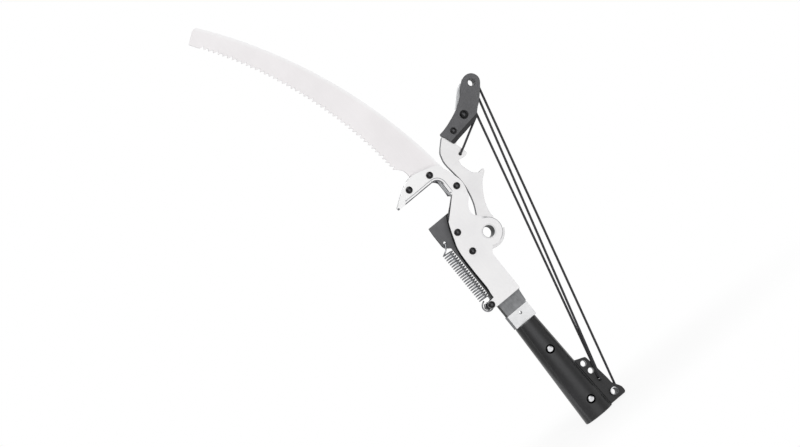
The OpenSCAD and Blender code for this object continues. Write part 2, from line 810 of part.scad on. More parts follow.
// The rack's teeth from the top one down, as points along the blade's right edge
function rack_points() = [
    for (k = [0:-1:rack_low_tooth])
        let (
            z = pivot_z + (k + 0.5) * gear_pitch,
            half = gear_pitch / 4 - gear_play / 2,
            lean = tan(20)
        )
        each [
            [rack_root_x, z + half + gear_dedendum * lean],
            [rack_x + gear_addendum, z + half - gear_addendum * lean],
            [rack_x + gear_addendum, z - half + gear_addendum * lean],
            [rack_root_x, z - half - gear_dedendum * lean]
        ]
];

module guide_slot() {
    low = guide_z[0] - blade_stroke - 0.5;
    high = guide_z[1] + 0.5;
    translate([guide_x - slot_r, low]) square([2 * slot_r, high - low]);
    for (z = [low, high]) translate([guide_x, z]) circle(r = slot_r);
}

module cutting_blade() color("#55575a") {
    lean = atan2(blade_t - 0.3, blade_bevel);
    at_head() difference() {
        slab(-blade_t / 2, blade_t / 2) difference() {
            polygon(concat(
                [[-22.8, blade_top_z], [20, blade_top_z], [20, 147], [rack_root_x, 143]],
                rack_points(),
                [[rack_root_x, blade_foot_z], [-14.4, blade_foot_z], [-14.4, 136]],
                [[-21.6, 141.4], [-22.8, 145]]
            ));
            guide_slot();
            translate(spring_hole_at) circle(r = spring_hole_r);
        }
        translate([-30, -blade_t / 2 + 0.3, blade_top_z]) rotate([lean, 0, 0])
            translate([0, 0, -30]) cube([60, 20, 40]);
    }
}

// Lever

// Half of a tooth's width at a radius, as an angle
function tooth_half_angle(r) =
    let (
        at = acos(min(gear_base_r / r, 1)),
        half = 90 / gear_full_teeth - gear_play / 4 / pitch_r * 180 / PI
    )
    half + (tan(20) * 180 / PI - 20) - (tan(at) * 180 / PI - at);

module gear_tooth(a) {
    height = gear_tip_r - gear_base_r;
    radii = [lever_disc_r - 1, for (i = [0:4]) gear_base_r + height * i / 4];
    polygon(concat(
        [for (r = radii) r * [cos(a - tooth_half_angle(r)), sin(a - tooth_half_angle(r))]],
        [for (i = [len(radii) - 1:-1:0])
            let (r = radii[i]) r * [cos(a + tooth_half_angle(r)), sin(a + tooth_half_angle(r))]]
    ));
}

module gear_outline() {
    circle(r = lever_disc_r, $fn = 72);
    for (k = [first_tooth:last_tooth]) gear_tooth(180 + k * tooth_turn);
}

// The shrouds beside the teeth stand out with them, and the rest of the disc is smaller
module shroud_outline() {
    circle(r = lever_disc_r, $fn = 72);
    polygon(concat([[0, 0]], arc([0, 0], gear_shroud_r, solid_to - 3, solid_from + 363, 40)));
}

module arm_outline() {
    polygon(concat(
        [[0, 0], [-0.6, gear_tip_r - 0.2]],
        smooth([
            [2.2, 25.5], [9.1, 38.5], [13.5, 53.6], [15.7, 70.7], [14.4, 86.8], [12.9, 103.6],
            [14.8, 113.4], [18.1, 120.4], [30.6, 132.6]
        ], 3),
        [[48.2, 139.5], [66.2, 145.6]],
        arc(block_bolt_at, 7.2, 120, -60, 8),
        [[69, 131], [53.2, 123.5], [40.3, 114.5]],
        smooth([[42.1, 108.9], [44.6, 99.3], [43.6, 96.4], [38.8, 95.3], [31.1, 96.7]], 3),
        smooth([[29.6, 95.4], [28.8, 89.5], [29.8, 84.4], [33.6, 73.4], [40.1, 67.5]], 3),
        [[48.2, 67.9], [49, 67], [47.5, 63.7]],
        smooth([[47.5, 63.7], [37.7, 56], [28.8, 44.4], [21.8, 31], [18.3, 18.1], [18.8, 10.7]], 3)
    ));
}

module lever_holes() {
    circle(r = pivot_r + pivot_gap, $fn = 72);
    translate(lug_at) circle(r = lug_hole_r);
    translate(block_bolt_at) circle(r = bolt_hole_r);
    translate(block_screw_at) circle(r = screw_d / 2 + bolt_gap);
}

module lever() color("#dadcdf") {
    at_pivot() {
        slab(-shroud_y, shroud_y) difference() {
            union() {
                arm_outline();
                gear_outline();
            }
            lever_holes();
        }
        for (side = [0, 1]) mirror([0, side, 0]) slab(shroud_y, lever_y) difference() {
            union() {
                arm_outline();
                shroud_outline();
            }
            lever_holes();
        }
    }
}

// Pivot

module pivot_sleeve() color("#c4c7cb") {
    at_pivot() difference() {
        turned([0, 0], [
            [0, -face_y + 0.4], [pivot_r, -face_y + 0.4], [pivot_r, face_y],
            [pivot_r + 3, face_y], [pivot_r + 3, face_y + 1.6], [pivot_r + 2, face_y + 2.2],
            [0, face_y + 2.2]
        ]);
        turned([0, 0], [
            [0, -face_y], [pivot_bore_r + 0.6 * pivot_wall, -face_y],
            [pivot_bore_r, -face_y + 0.4 + 0.6 * pivot_wall], [pivot_bore_r, face_y + 3],
            [0, face_y + 3]
        ]);
    }
}

module pivot_ring() color("#d3d5d8") {
    at_pivot() ring([0, 0], pivot_r + 0.02, pivot_r + pivot_ring_w, -face_y + 0.2, -core_y);
}

module pivot_washers() color("#b9bcc0") {
    at_pivot() for (side = [0, 1]) mirror([0, side, 0])
        ring([0, 0], pivot_r + 0.05, pivot_r + 5, lever_y + 0.15, core_y);
}

// Rope block

module cheek_outline() {
    polygon(concat(
        smooth([[34.5, 129.4], [31.4, 134.3], [31, 136.2], [32.4, 137.9], [39, 138.9]], 3),
        [[48.9, 141.5], [59.2, 145.1], [68.7, 149.1]],
        smooth([[68.7, 149.1], [76.6, 153.8], [82.7, 158.3], [88, 163.5], [94, 169.2], [101.4, 175.2]], 3),
        arc(axle_at, block_end_r, 118, -15, 12),
        smooth([[118, 157.6], [111.3, 149.7], [106.1, 144.4], [100.4, 138.6]], 3),
        [[94.8, 134.8], [89.7, 130.2], [86.8, 125.4], [85, 124.1]],
        [[75.2, 121.7], [60.8, 119.3], [48.6, 117.7], [41.5, 116.4]],
        smooth([[40.2, 116.3], [38.5, 117.1], [36.9, 121.7]], 3)
    ));
}

module cheek_holes() {
    translate(block_bolt_at) circle(r = bolt_hole_r);
    translate(block_screw_at) circle(r = screw_d / 2 + bolt_gap);
    translate(axle_at) circle(r = axle_r + 0.02);
}

module pin_holes() {
    translate(middle_at) circle(r = middle_pin_r + 0.02);
    translate(corner_at) circle(r = corner_end_r + 0.02);
}

module front_cheek() color("#5a5c5f") {
    // The sloping face along the cheek's lower edge narrows towards the bend
    slope = atan2(128.6 - 122.1, 85 - 40);
    at_pivot() difference() {
        slab(-cheek_y, -lever_y) difference() {
            cheek_outline();
            cheek_holes();
        }
        slab(-cheek_y + pin_cover, -lever_y + eps) pin_holes();
        rod(block_bolt_at, bolt_head_d / 2 + 1.15, -cheek_y - 1, -cheek_y + bolt_recess);
        translate([40, -cheek_y, 122.1]) rotate([0, -slope, 0]) rotate([28, 0, 0])
            translate([-20, -10, -12]) cube([80, 10, 17]);
    }
}

// The rear cheek is narrower along the block's back
module rear_cheek() color("#55575a") {
    at_pivot() slab(lever_y, cheek_y) difference() {
        intersection() {
            cheek_outline();
            translate([rear_cheek_inset, -0.6]) cheek_outline();
        }
        cheek_holes();
        pin_holes();
    }
}

module block_bolt() color("#26272a") {
    at_pivot() button_bolt(block_bolt_at, bolt_d, bolt_head_d, bolt_head_h, -cheek_y + bolt_recess,
        cheek_y + nut_h + 1);
}

module block_screw() color("#2a2b2e") {
    at_pivot() button_bolt(block_screw_at, screw_d, 8.6, 2.2, -cheek_y, cheek_y + 4.6);
}

module block_nuts() color("#3a3b3e") {
    at_pivot() {
        hex_nut(block_bolt_at, bolt_d, cheek_y, cheek_y + nut_h, nut_w);
        hex_nut(block_screw_at, screw_d, cheek_y, cheek_y + 4, 8);
    }
}

module rope_guard() color("#b4b6b8") {
    at_pivot() slab(-lever_y, lever_y) polygon(concat(
        smooth([[70, 149.8], [74.5, 153.9], [79.4, 158.6], [84.7, 163.9], [90, 168.7], [96.4, 172.6]], 3),
        [[97.4, 170.8]],
        smooth([[96, 169.4], [91.6, 166.4], [86, 161.8], [79.6, 156], [73, 150.6]], 3)
    ));
}

module top_axle() color("#9fa2a6") {
    at_pivot() difference() {
        turned(axle_at, [
            [0, -cheek_y + 0.1], [axle_r, -cheek_y + 0.1], [axle_r, cheek_y], [axle_r + 1.2, cheek_y],
            [axle_r + 1, cheek_y + 0.7], [0, cheek_y + 0.7]
        ]);
        rod(axle_at, axle_bore_r, -cheek_y - 1, cheek_y + 1);
    }
}

module top_roller() color("#8d9094") {
    at_pivot() rope_roller(axle_at, axle_r + roller_gap, top_roller_r,
        2 * rope_plane - lever_y + 0.1, lever_y - 0.1);
}

module top_collar() color("#a6a9ad") {
    at_pivot() ring(axle_at, axle_r + 0.02, axle_r + 2.4, -lever_y, -0.2);
}

module middle_pin() color("#5a5c5f") {
    at_pivot() rod(middle_at, middle_pin_r, -cheek_y + pin_cover, cheek_y);
}

module middle_roller() color("#8d9094") {
    at_pivot() rope_roller(middle_at, middle_pin_r + roller_gap, middle_roller_r, -lever_y + 0.1,
        lever_y - 2 * rope_plane - 0.1);
}

module corner_pin() color("#5a5c5f") {
    at_pivot() {
        rod(corner_at, corner_pin_r - rope_r - 0.05, -lever_y, lever_y);
        rod(corner_at, corner_end_r, -cheek_y + pin_cover, cheek_y);
    }
}

// Rope. The strands run straight between the wing and the block's rollers.

lift = head_z + pivot_z;
function on_block(p) = [p.x + pivot_x, p.y + lift];
axle_place = on_block(axle_at);
middle_place = on_block(middle_at);
corner_place = on_block(corner_at);
lug_place = on_block(lug_at);

line_a = tangent_line(slot_ends[1], 0, 1, middle_place, middle_roller_r, -1);
line_b = tangent_line(slot_ends[0], 0, 1, middle_place, middle_roller_r, 1);
line_c = tangent_line(bush_at, bush_rope_r, 1, axle_place, top_roller_r, 1);
line_short = tangent_line(lug_place, 0, 1, corner_place, corner_pin_r, 1);
line_up = tangent_line(corner_place, corner_pin_r, 1, axle_place, top_roller_r, -1);
line_back = tangent_line(bush_at, bush_rope_r, -1, slot_ends[0], 0, 1);

// A straight strand from p to q. Its lower end is round where it turns on a knot's tail
module strand(p, q, round_end) {
    run = q - p;
    short = rope_lead + rope_joint_gap;
    low = round_end ? [for (t = [-90:15:0]) rope_r * [cos(t), sin(t)]] : [[0, short], [rope_r, short]];
    top = norm(run) - short;
    translate(p) rotate([0, acos(run.z / norm(run)), atan2(run.y, run.x)])
        rotate_extrude($fn = 24)
            polygon(concat(low, [[rope_r, top], [0, top]]));
}

module rope_strand_a() color("#2c2d2f") {
    strand(in_depth(line_a[0], strand_a_y), in_depth(line_a[1], -rope_plane), true);
}

module rope_strand_b() color("#2c2d2f") {
    strand(in_depth(line_b[0], strand_b_y), in_depth(line_b[1], -rope_plane), true);
}

module rope_strand_c() color("#2c2d2f") {
    strand(in_depth(line_c[0], wing_rear_y), in_depth(line_c[1], rope_plane), false);
}

// An arc round a circle at one depth, from one line's end to another's, with a short straight
// lead at both ends
function wrap(at, r, from, to, turn, y) =
    let (
        a = angle_from(at, from),
        b = angle_from(at, to),
        sweep = turn > 0 ? (b - a + 720) % 360 : -((a - b + 720) % 360),
        steps = ceil(abs(sweep) / 12),
        way_in = turn * [-sin(a), cos(a)],
        way_out = turn * [-sin(b), cos(b)]
    )
    [
        in_depth(from - rope_lead * way_in, y),
        for (p = arc(at, r, a, a + sweep, steps)) in_depth(p, y),
        in_depth(to + rope_lead * way_out, y)
    ];

// From the lug's hole across the lever's front, under the corner pin and over the top roller
module rope_top_run() color("#2c2d2f") {
    lead = unit(line_short[1] - line_short[0]);
    bend = 2.1;
    tube(concat(
        [in_depth(lug_place, -lever_y + 0.1)],
        [for (t = [0:30:90])
            in_depth(lug_place + bend * (1 - cos(t)) * lead, -lever_y - 0.15 - bend * sin(t))],
        [in_depth(lug_place + 9 * lead, -lever_y - 2.1), in_depth(lug_place + 36 * lead, -0.4)],
        wrap(corner_place, corner_pin_r, line_short[1], line_up[0], 1, rope_plane),
        wrap(axle_place, top_roller_r, line_up[1], line_c[1], -1, rope_plane)
    ), rope_r, 8);
}

module rope_middle_run() color("#2c2d2f") {
    tube(wrap(middle_place, middle_roller_r, line_b[1], line_a[1], 1, -rope_plane), rope_r, 8);
}

// Round the bush behind the wing, up, and forward through the slot's lower end
module rope_wing_run() color("#2c2d2f") {
    top = slot_ends[0];
    lead = unit(top - line_back[0]);
    bend = 2.3;
    tube(concat(
        wrap(bush_at, bush_rope_r, line_c[0], line_back[0], -1, wing_rear_y),
        [in_depth(top - 9 * lead, wing_rear_y)],
        [for (t = [0:30:90])
            in_depth(top - bend * (1 - sin(t)) * lead, wing_rear_y - bend * (1 - cos(t)))],
        [in_depth(top, 0), in_depth(top, strand_b_y + rope_r + rope_joint_gap)]
    ), rope_r, 8);
}

// A stopper knot of two turns at depth y, as a turned profile
function knot_profile(y, grow) = [
    [rope_r, y], [rope_r + 0.9, y], [rope_r + grow, y + 0.7], [rope_r + grow, y + 1.6],
    [rope_r + 0.9, y + 2.4], [rope_r + grow, y + 3.2], [rope_r + grow, y + 4.1],
    [rope_r + 0.9, y + 4.8], [rope_r, y + 4.9], [rope_r, y + 6.4], [0, y + 6.4]
];

// The knot behind the lever's lug holds the rope's first end
module lug_knot() color("#2c2d2f") {
    front = -lever_y + 0.2;
    turned(lug_place, concat([[0, front], [rope_r, front]], knot_profile(lever_y + 0.2, 1.9)));
}

// The knot behind the wing holds the rope's second end
module end_knot() color("#2c2d2f") {
    front = strand_a_y + rope_r + rope_joint_gap;
    turned(slot_ends[1], concat([[0, front], [rope_r, front]], knot_profile(wing_t / 2 + 0.2, 1.6)));
}

pole_socket();
line_bush();
tang();
ferrule();
ferrule_rivet();
tang_screw();
tang_nut();
pole_screw();
front_plate();
rear_plate();
front_spacer();
rear_spacer();
saw_blade();
hook_bolts();
hook_nuts();
guide_bolts();
guide_sleeves();
guide_washers();
guide_nuts();
spring_bolt();
spring_nut();
return_spring();
cutting_blade();
lever();
pivot_sleeve();
pivot_ring();
pivot_washers();
front_cheek();
rear_cheek();
block_bolt();
block_screw();
block_nuts();
rope_guard();
top_axle();
top_roller();
top_collar();
middle_pin();
middle_roller();
corner_pin();
rope_top_run();
rope_middle_run();
rope_wing_run();
rope_strand_a();
rope_strand_b();
rope_strand_c();
lug_knot();
end_knot();
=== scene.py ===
"""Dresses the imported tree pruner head: finishes for its metal and plastic, braided rope with knots,
a round wire spring, chamfered nuts, and the studio round it.

Lengths in the dataclass fields are millimetres in the row frame; meshes are made in metres."""

import logging
import math
from collections.abc import Callable, Sequence
from dataclasses import dataclass, replace
from enum import Enum
from functools import reduce
from typing import Any

import bmesh
import bpy
from mathutils import Matrix, Vector


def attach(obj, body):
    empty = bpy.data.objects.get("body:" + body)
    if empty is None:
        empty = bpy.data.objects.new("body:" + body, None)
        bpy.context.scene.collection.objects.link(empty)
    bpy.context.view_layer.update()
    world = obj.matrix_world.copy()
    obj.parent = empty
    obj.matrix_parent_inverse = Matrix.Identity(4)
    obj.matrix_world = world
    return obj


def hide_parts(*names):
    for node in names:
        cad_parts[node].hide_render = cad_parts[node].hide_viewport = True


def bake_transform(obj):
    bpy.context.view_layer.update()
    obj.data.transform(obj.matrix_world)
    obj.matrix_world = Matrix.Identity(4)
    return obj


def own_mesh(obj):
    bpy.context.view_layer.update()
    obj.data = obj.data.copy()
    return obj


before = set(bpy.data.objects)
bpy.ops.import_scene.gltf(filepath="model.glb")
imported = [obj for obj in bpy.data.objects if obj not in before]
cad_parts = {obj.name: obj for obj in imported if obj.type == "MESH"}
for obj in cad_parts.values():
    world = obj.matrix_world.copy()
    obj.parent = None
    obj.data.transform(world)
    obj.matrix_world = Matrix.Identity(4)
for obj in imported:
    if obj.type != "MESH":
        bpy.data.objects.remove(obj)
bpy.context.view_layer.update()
LOG = logging.getLogger("tree_pruner_head")
MM = 0.001
SCREW_HEIGHTS = (24.3, 108.4)
Colour = tuple[float, float, float, float]
Pair = tuple[float, float]
Triple = tuple[float, float, float]
Tree = bpy.types.NodeTree
Socket = bpy.types.NodeSocket
Limit = tuple[Socket, float, float]


def linear(hex_colour: str) -> Colour:
    """Turns an sRGB hex colour to the linear values that the shaders take.

    Args:
        hex_colour: six hex digits, such as "D9DBDE".

    Returns:
        Linear red, green, blue and an alpha of 1.
    """
    parts = [int(hex_colour[i:i + 2], 16) / 255 for i in (0, 2, 4)]
    red, green, blue = [c / 12.92 if c <= 0.04045 else ((c + 0.055) / 1.055) ** 2.4 for c in parts]
    return red, green, blue, 1.0


def add_node(tree: Tree, kind: str, feeds: dict[Any, Any] | None = None, **settings: Any) -> bpy.types.Node:
    """Adds one shader node with its settings and links.

    Args:
        tree: the node tree that it goes into.
        kind: the node's type, such as "ShaderNodeTexNoise".
        feeds: input name or number to a value, or to the socket that is linked to it.
        settings: the node's own properties.

    Returns:
        The new node.
    """
    node = tree.nodes.new(kind)
    for name, value in settings.items():
        setattr(node, name, value)
    for key, value in (feeds or {}).items():
        if isinstance(value, Socket):
            tree.links.new(value, node.inputs[key])
        else:
            node.inputs[key].default_value = value
    return node


def calc(tree: Tree, operation: str, *values: Socket | float) -> Socket:
    """Gives the result of one operation on sockets and numbers, such as "SUBTRACT"."""
    return add_node(tree, "ShaderNodeMath", dict(enumerate(values)), operation=operation).outputs[0]


def ramp(tree: Tree, value: Socket, zero: float, one: float, low: float = 0.0, high: float = 1.0,
         **settings: Any) -> Socket:
    """Gives low where a value is at or beyond the limit zero, high at or beyond the limit one, and between them
    a blend of both."""
    feeds = {"Value": value, "From Min": zero, "From Max": one, "To Min": low, "To Max": high}
    return add_node(tree, "ShaderNodeMapRange", feeds, **settings).outputs["Result"]


def product(tree: Tree, *shares: Socket) -> Socket:
    """Gives the product of several shares."""
    return reduce(lambda result, share: calc(tree, "MULTIPLY", result, share), shares)


def largest(tree: Tree, *sockets: Socket) -> Socket:
    """Gives the largest of several values, so 1 where any of several shares is 1."""
    return reduce(lambda result, other: calc(tree, "MAXIMUM", result, other), sockets)


def blend(tree: Tree, share: Socket, below: Socket, above: str) -> Socket:
    """Lays a hex colour over another colour by a share between 0 and 1."""
    return add_node(tree, "ShaderNodeMix", {0: share, 6: below, 7: linear(above)}, data_type="RGBA").outputs[2]


def paint(tree: Tree, below: Socket, above: str, *limits: Limit) -> Socket:
    """Paints a mark over a colour. Each value comes with the limits where the mark begins and where it is full."""
    return blend(tree, product(tree, *(ramp(tree, *limit) for limit in limits)), below, above)


def place(tree: Tree, size: Triple) -> Socket:
    """Gives object coordinates in which one unit is the given millimetres along X, Y and Z."""
    here, scale = add_node(tree, "ShaderNodeTexCoord").outputs["Object"], tuple(1 / (s * MM) for s in size)
    return add_node(tree, "ShaderNodeMapping", {"Vector": here, "Scale": scale}).outputs["Vector"]


def clouds(tree: Tree, size: Triple, detail: float = 3.0, distortion: float = 0.0) -> Socket:
    """Gives a cloudy pattern between 0 and 1, with lumps of the given millimetres and finer layers on them."""
    feeds = {"Vector": place(tree, size), "Scale": 1.0, "Detail": detail, "Distortion": distortion}
    return add_node(tree, "ShaderNodeTexNoise", feeds).outputs["Fac"]


def mean(tree: Tree, share: Socket | float, first: Socket | float, second: Socket | float) -> Socket:
    """Gives the mean of two values, in which the second has the given share."""
    return add_node(tree, "ShaderNodeMix", {0: share, 2: first, 3: second}).outputs[0]


def split(tree: Tree, vector: Socket) -> dict[str, Socket]:
    """Gives a vector's parts by the names X, Y and Z."""
    parts = add_node(tree, "ShaderNodeSeparateXYZ", {0: vector})
    return {axis: parts.outputs[axis] for axis in "XYZ"}


def position(tree: Tree) -> dict[str, Socket]:
    """Gives the point's X, Y and Z in millimetres in the row frame."""
    return split(tree, place(tree, (1.0, 1.0, 1.0)))


def facing(tree: Tree) -> dict[str, Socket]:
    """Gives the X, Y and Z of the face's true normal."""
    return split(tree, add_node(tree, "ShaderNodeNewGeometry").outputs["True Normal"])


def vector_math(tree: Tree, operation: str, first: Socket,
                second: Socket | Triple = (0.0, 0.0, 0.0)) -> bpy.types.Node:
    """Adds one operation on two vectors."""
    return add_node(tree, "ShaderNodeVectorMath", {0: first, 1: second}, operation=operation)


def flat(tree: Tree, at: dict[str, Socket]) -> Socket:
    """Gives a position's X and Z as one vector."""
    return add_node(tree, "ShaderNodeCombineXYZ", {0: at["X"], 2: at["Z"]}).outputs[0]


def distance(tree: Tree, centre: Pair) -> Socket:
    """Gives the distance in millimetres from an axis along Y through a centre, which is given as (x, z)."""
    offset = vector_math(tree, "DISTANCE", flat(tree, position(tree)), (centre[0], 0.0, centre[1]))
    return offset.outputs["Value"]


def nearest_screw(tree: Tree) -> Socket:
    """Gives the distance in millimetres from the nearer of the socket's two screws."""
    low, high = (distance(tree, (0.0, z)) for z in SCREW_HEIGHTS)
    return calc(tree, "MINIMUM", low, high)


class Axis(Enum):
    """The direction that a finish's grain runs in."""

    X = 0
    Z = 2


@dataclass(frozen=True)
class Finish:
    """One real material and how its surface was made.

    The base class gives a plain surface with mottling and a fine grain; the subclasses say what is
    drawn on it. Sizes are millimetres.
    """

    name: str
    colour: str
    shade: str
    metallic: float
    roughness: float
    roughness_spread: float = 0.08
    mottle: float = 12.0
    grain: float = 0.6
    grain_depth: float = 0.01
    specular: float = 0.5
    tone_stops: Pair = (0.3, 0.62)
    roughness_stops: Pair = (0.3, 0.7)
    grain_share: float = 0.35
    grain_detail: float = 2.0
    mottle_detail: float = 4.0
    # Painted shading on the cut edges, mixed with their own sheared tone: darker on most finishes, lighter on the
    # sawn spacers.
    edge_tone_and_shading: str = ""
    edge_roughness: float = 0.55
    edge_facing: Pair = (0.75, 0.55)
    # Painted light on cut edges that look up.
    top_edge_light_colour: str = ""
    top_facing: Pair = (0.3, 0.5)
    # Painted shade along each rounded edge; on the nylon a painted highlight.
    rim_shading_colour: str = ""
    rim_width: float = 0.7
    rim_turn: Pair = (0.995, 0.86)
    rim_strength: float = 0.9
    rim_samples: int = 6

    def relief(self, tree: Tree) -> Socket:
        """Gives the fine pattern that the light catches, between 0 and 1."""
        return clouds(tree, (self.grain,) * 3, self.grain_detail)

    def tone(self, tree: Tree, relief: Socket) -> Socket:
        """Gives the place between the darker and the lighter colour: the mottling with the fine pattern in it."""
        return mean(tree, self.grain_share, clouds(tree, (self.mottle,) * 3, self.mottle_detail), relief)

    def marks(self, tree: Tree, colour: Socket) -> Socket:
        """Gives the colour with this piece's own marks laid over it. A plain finish has none."""
        return colour

    def shine(self, tree: Tree) -> Socket | None:
        """Gives the specular level where it varies. A plain finish has one level."""
        return None

    def build(self) -> bpy.types.Material:
        """Makes the Blender material of this finish.

        Returns:
            The material.
        """
        material = bpy.data.materials.new(self.name)
        material.use_nodes = True
        tree = material.node_tree
        shader = tree.nodes["Principled BSDF"]
        relief = self.relief(tree)
        tone = self.tone(tree, relief)
        colours = add_node(tree, "ShaderNodeValToRGB", {"Fac": tone})
        for stop, at, hex_colour in zip(colours.color_ramp.elements, self.tone_stops, (self.shade, self.colour)):
            stop.position, stop.color = at, linear(hex_colour)
        roughness = ramp(tree, tone, *self.roughness_stops, self.roughness + self.roughness_spread,
                         self.roughness - self.roughness_spread)
        depth = self.grain_depth * MM
        bump = add_node(tree, "ShaderNodeBump", {"Height": relief, "Strength": 1.0, "Distance": depth})
        colour = colours.outputs["Color"]
        if self.edge_tone_and_shading:
            colour, roughness = self.cut_edges(tree, colour, roughness)
        colour = self.marks(tree, colour)
        if self.rim_shading_colour:
            colour = self.rim_shading(tree, colour)
        shader.inputs["Metallic"].default_value = self.metallic
        shader.inputs["Specular IOR Level"].default_value = self.specular
        links = {"Base Color": colour, "Roughness": roughness, "Normal": bump.outputs["Normal"],
                 "Specular IOR Level": self.shine(tree)}
        for name, socket in links.items():
            if socket:
                tree.links.new(socket, shader.inputs[name])
        return material

    def cut_edges(self, tree: Tree, colour: Socket, roughness: Socket) -> tuple[Socket, Socket]:
        """Gives a plate's cut edges a rougher face and a colour that is partly their own sheared tone and partly
        painted shading, darker on most finishes and lighter on the sawn spacers, with painted light on the edges
        that look up. An edge is a face that doesn't look along Y.

        Args:
            tree: the material's tree.
            colour: the colour of the plate's two faces.
            roughness: their roughness.

        Returns:
            The colour and roughness of the whole plate.
        """
        normal = facing(tree)
        is_edge = ramp(tree, calc(tree, "ABSOLUTE", normal["Y"]), *self.edge_facing)
        rough = mean(tree, is_edge, roughness, self.edge_roughness)
        # The cut edges' own tone mixed with painted shading.
        colour = blend(tree, is_edge, colour, self.edge_tone_and_shading)
        if self.top_edge_light_colour:
            # Painted light where an edge looks up.
            upward = product(tree, is_edge, ramp(tree, normal["Z"], *self.top_facing))
            colour = blend(tree, upward, colour, self.top_edge_light_colour)
        return colour, rough

    def rim_shading(self, tree: Tree, colour: Socket) -> Socket:
        """Paints a thin line of shading along each rounded edge, where the face's shine turns away: painted shade
        on most finishes, a painted highlight on the nylon.

        Args:
            tree: the material's tree.
            colour: the colour below it.

        Returns:
            The colour with its painted rim shading.
        """
        # The rim's colour is painted shading laid over the surface.
        rounded = add_node(tree, "ShaderNodeBevel", {"Radius": self.rim_width * MM}, samples=self.rim_samples)
        normal = add_node(tree, "ShaderNodeNewGeometry").outputs["True Normal"]
        along = vector_math(tree, "DOT_PRODUCT", rounded.outputs["Normal"], normal).outputs["Value"]
        return blend(tree, ramp(tree, along, *self.rim_turn, high=self.rim_strength), colour, self.rim_shading_colour)


@dataclass(frozen=True)
class BrushedSteel(Finish):
    """Steel with fine lines from a belt or grinding wheel, which spread each highlight across them."""

    run: Axis = Axis.Z
    line_length: float = 26.0
    grain_detail: float = 4.0

    def relief(self, tree: Tree) -> Socket:
        """Gives the brushed lines: a noise drawn out along the run."""
        size = [self.grain] * 3
        size[self.run.value] = self.line_length
        return clouds(tree, (size[0], size[1], size[2]), self.grain_detail)


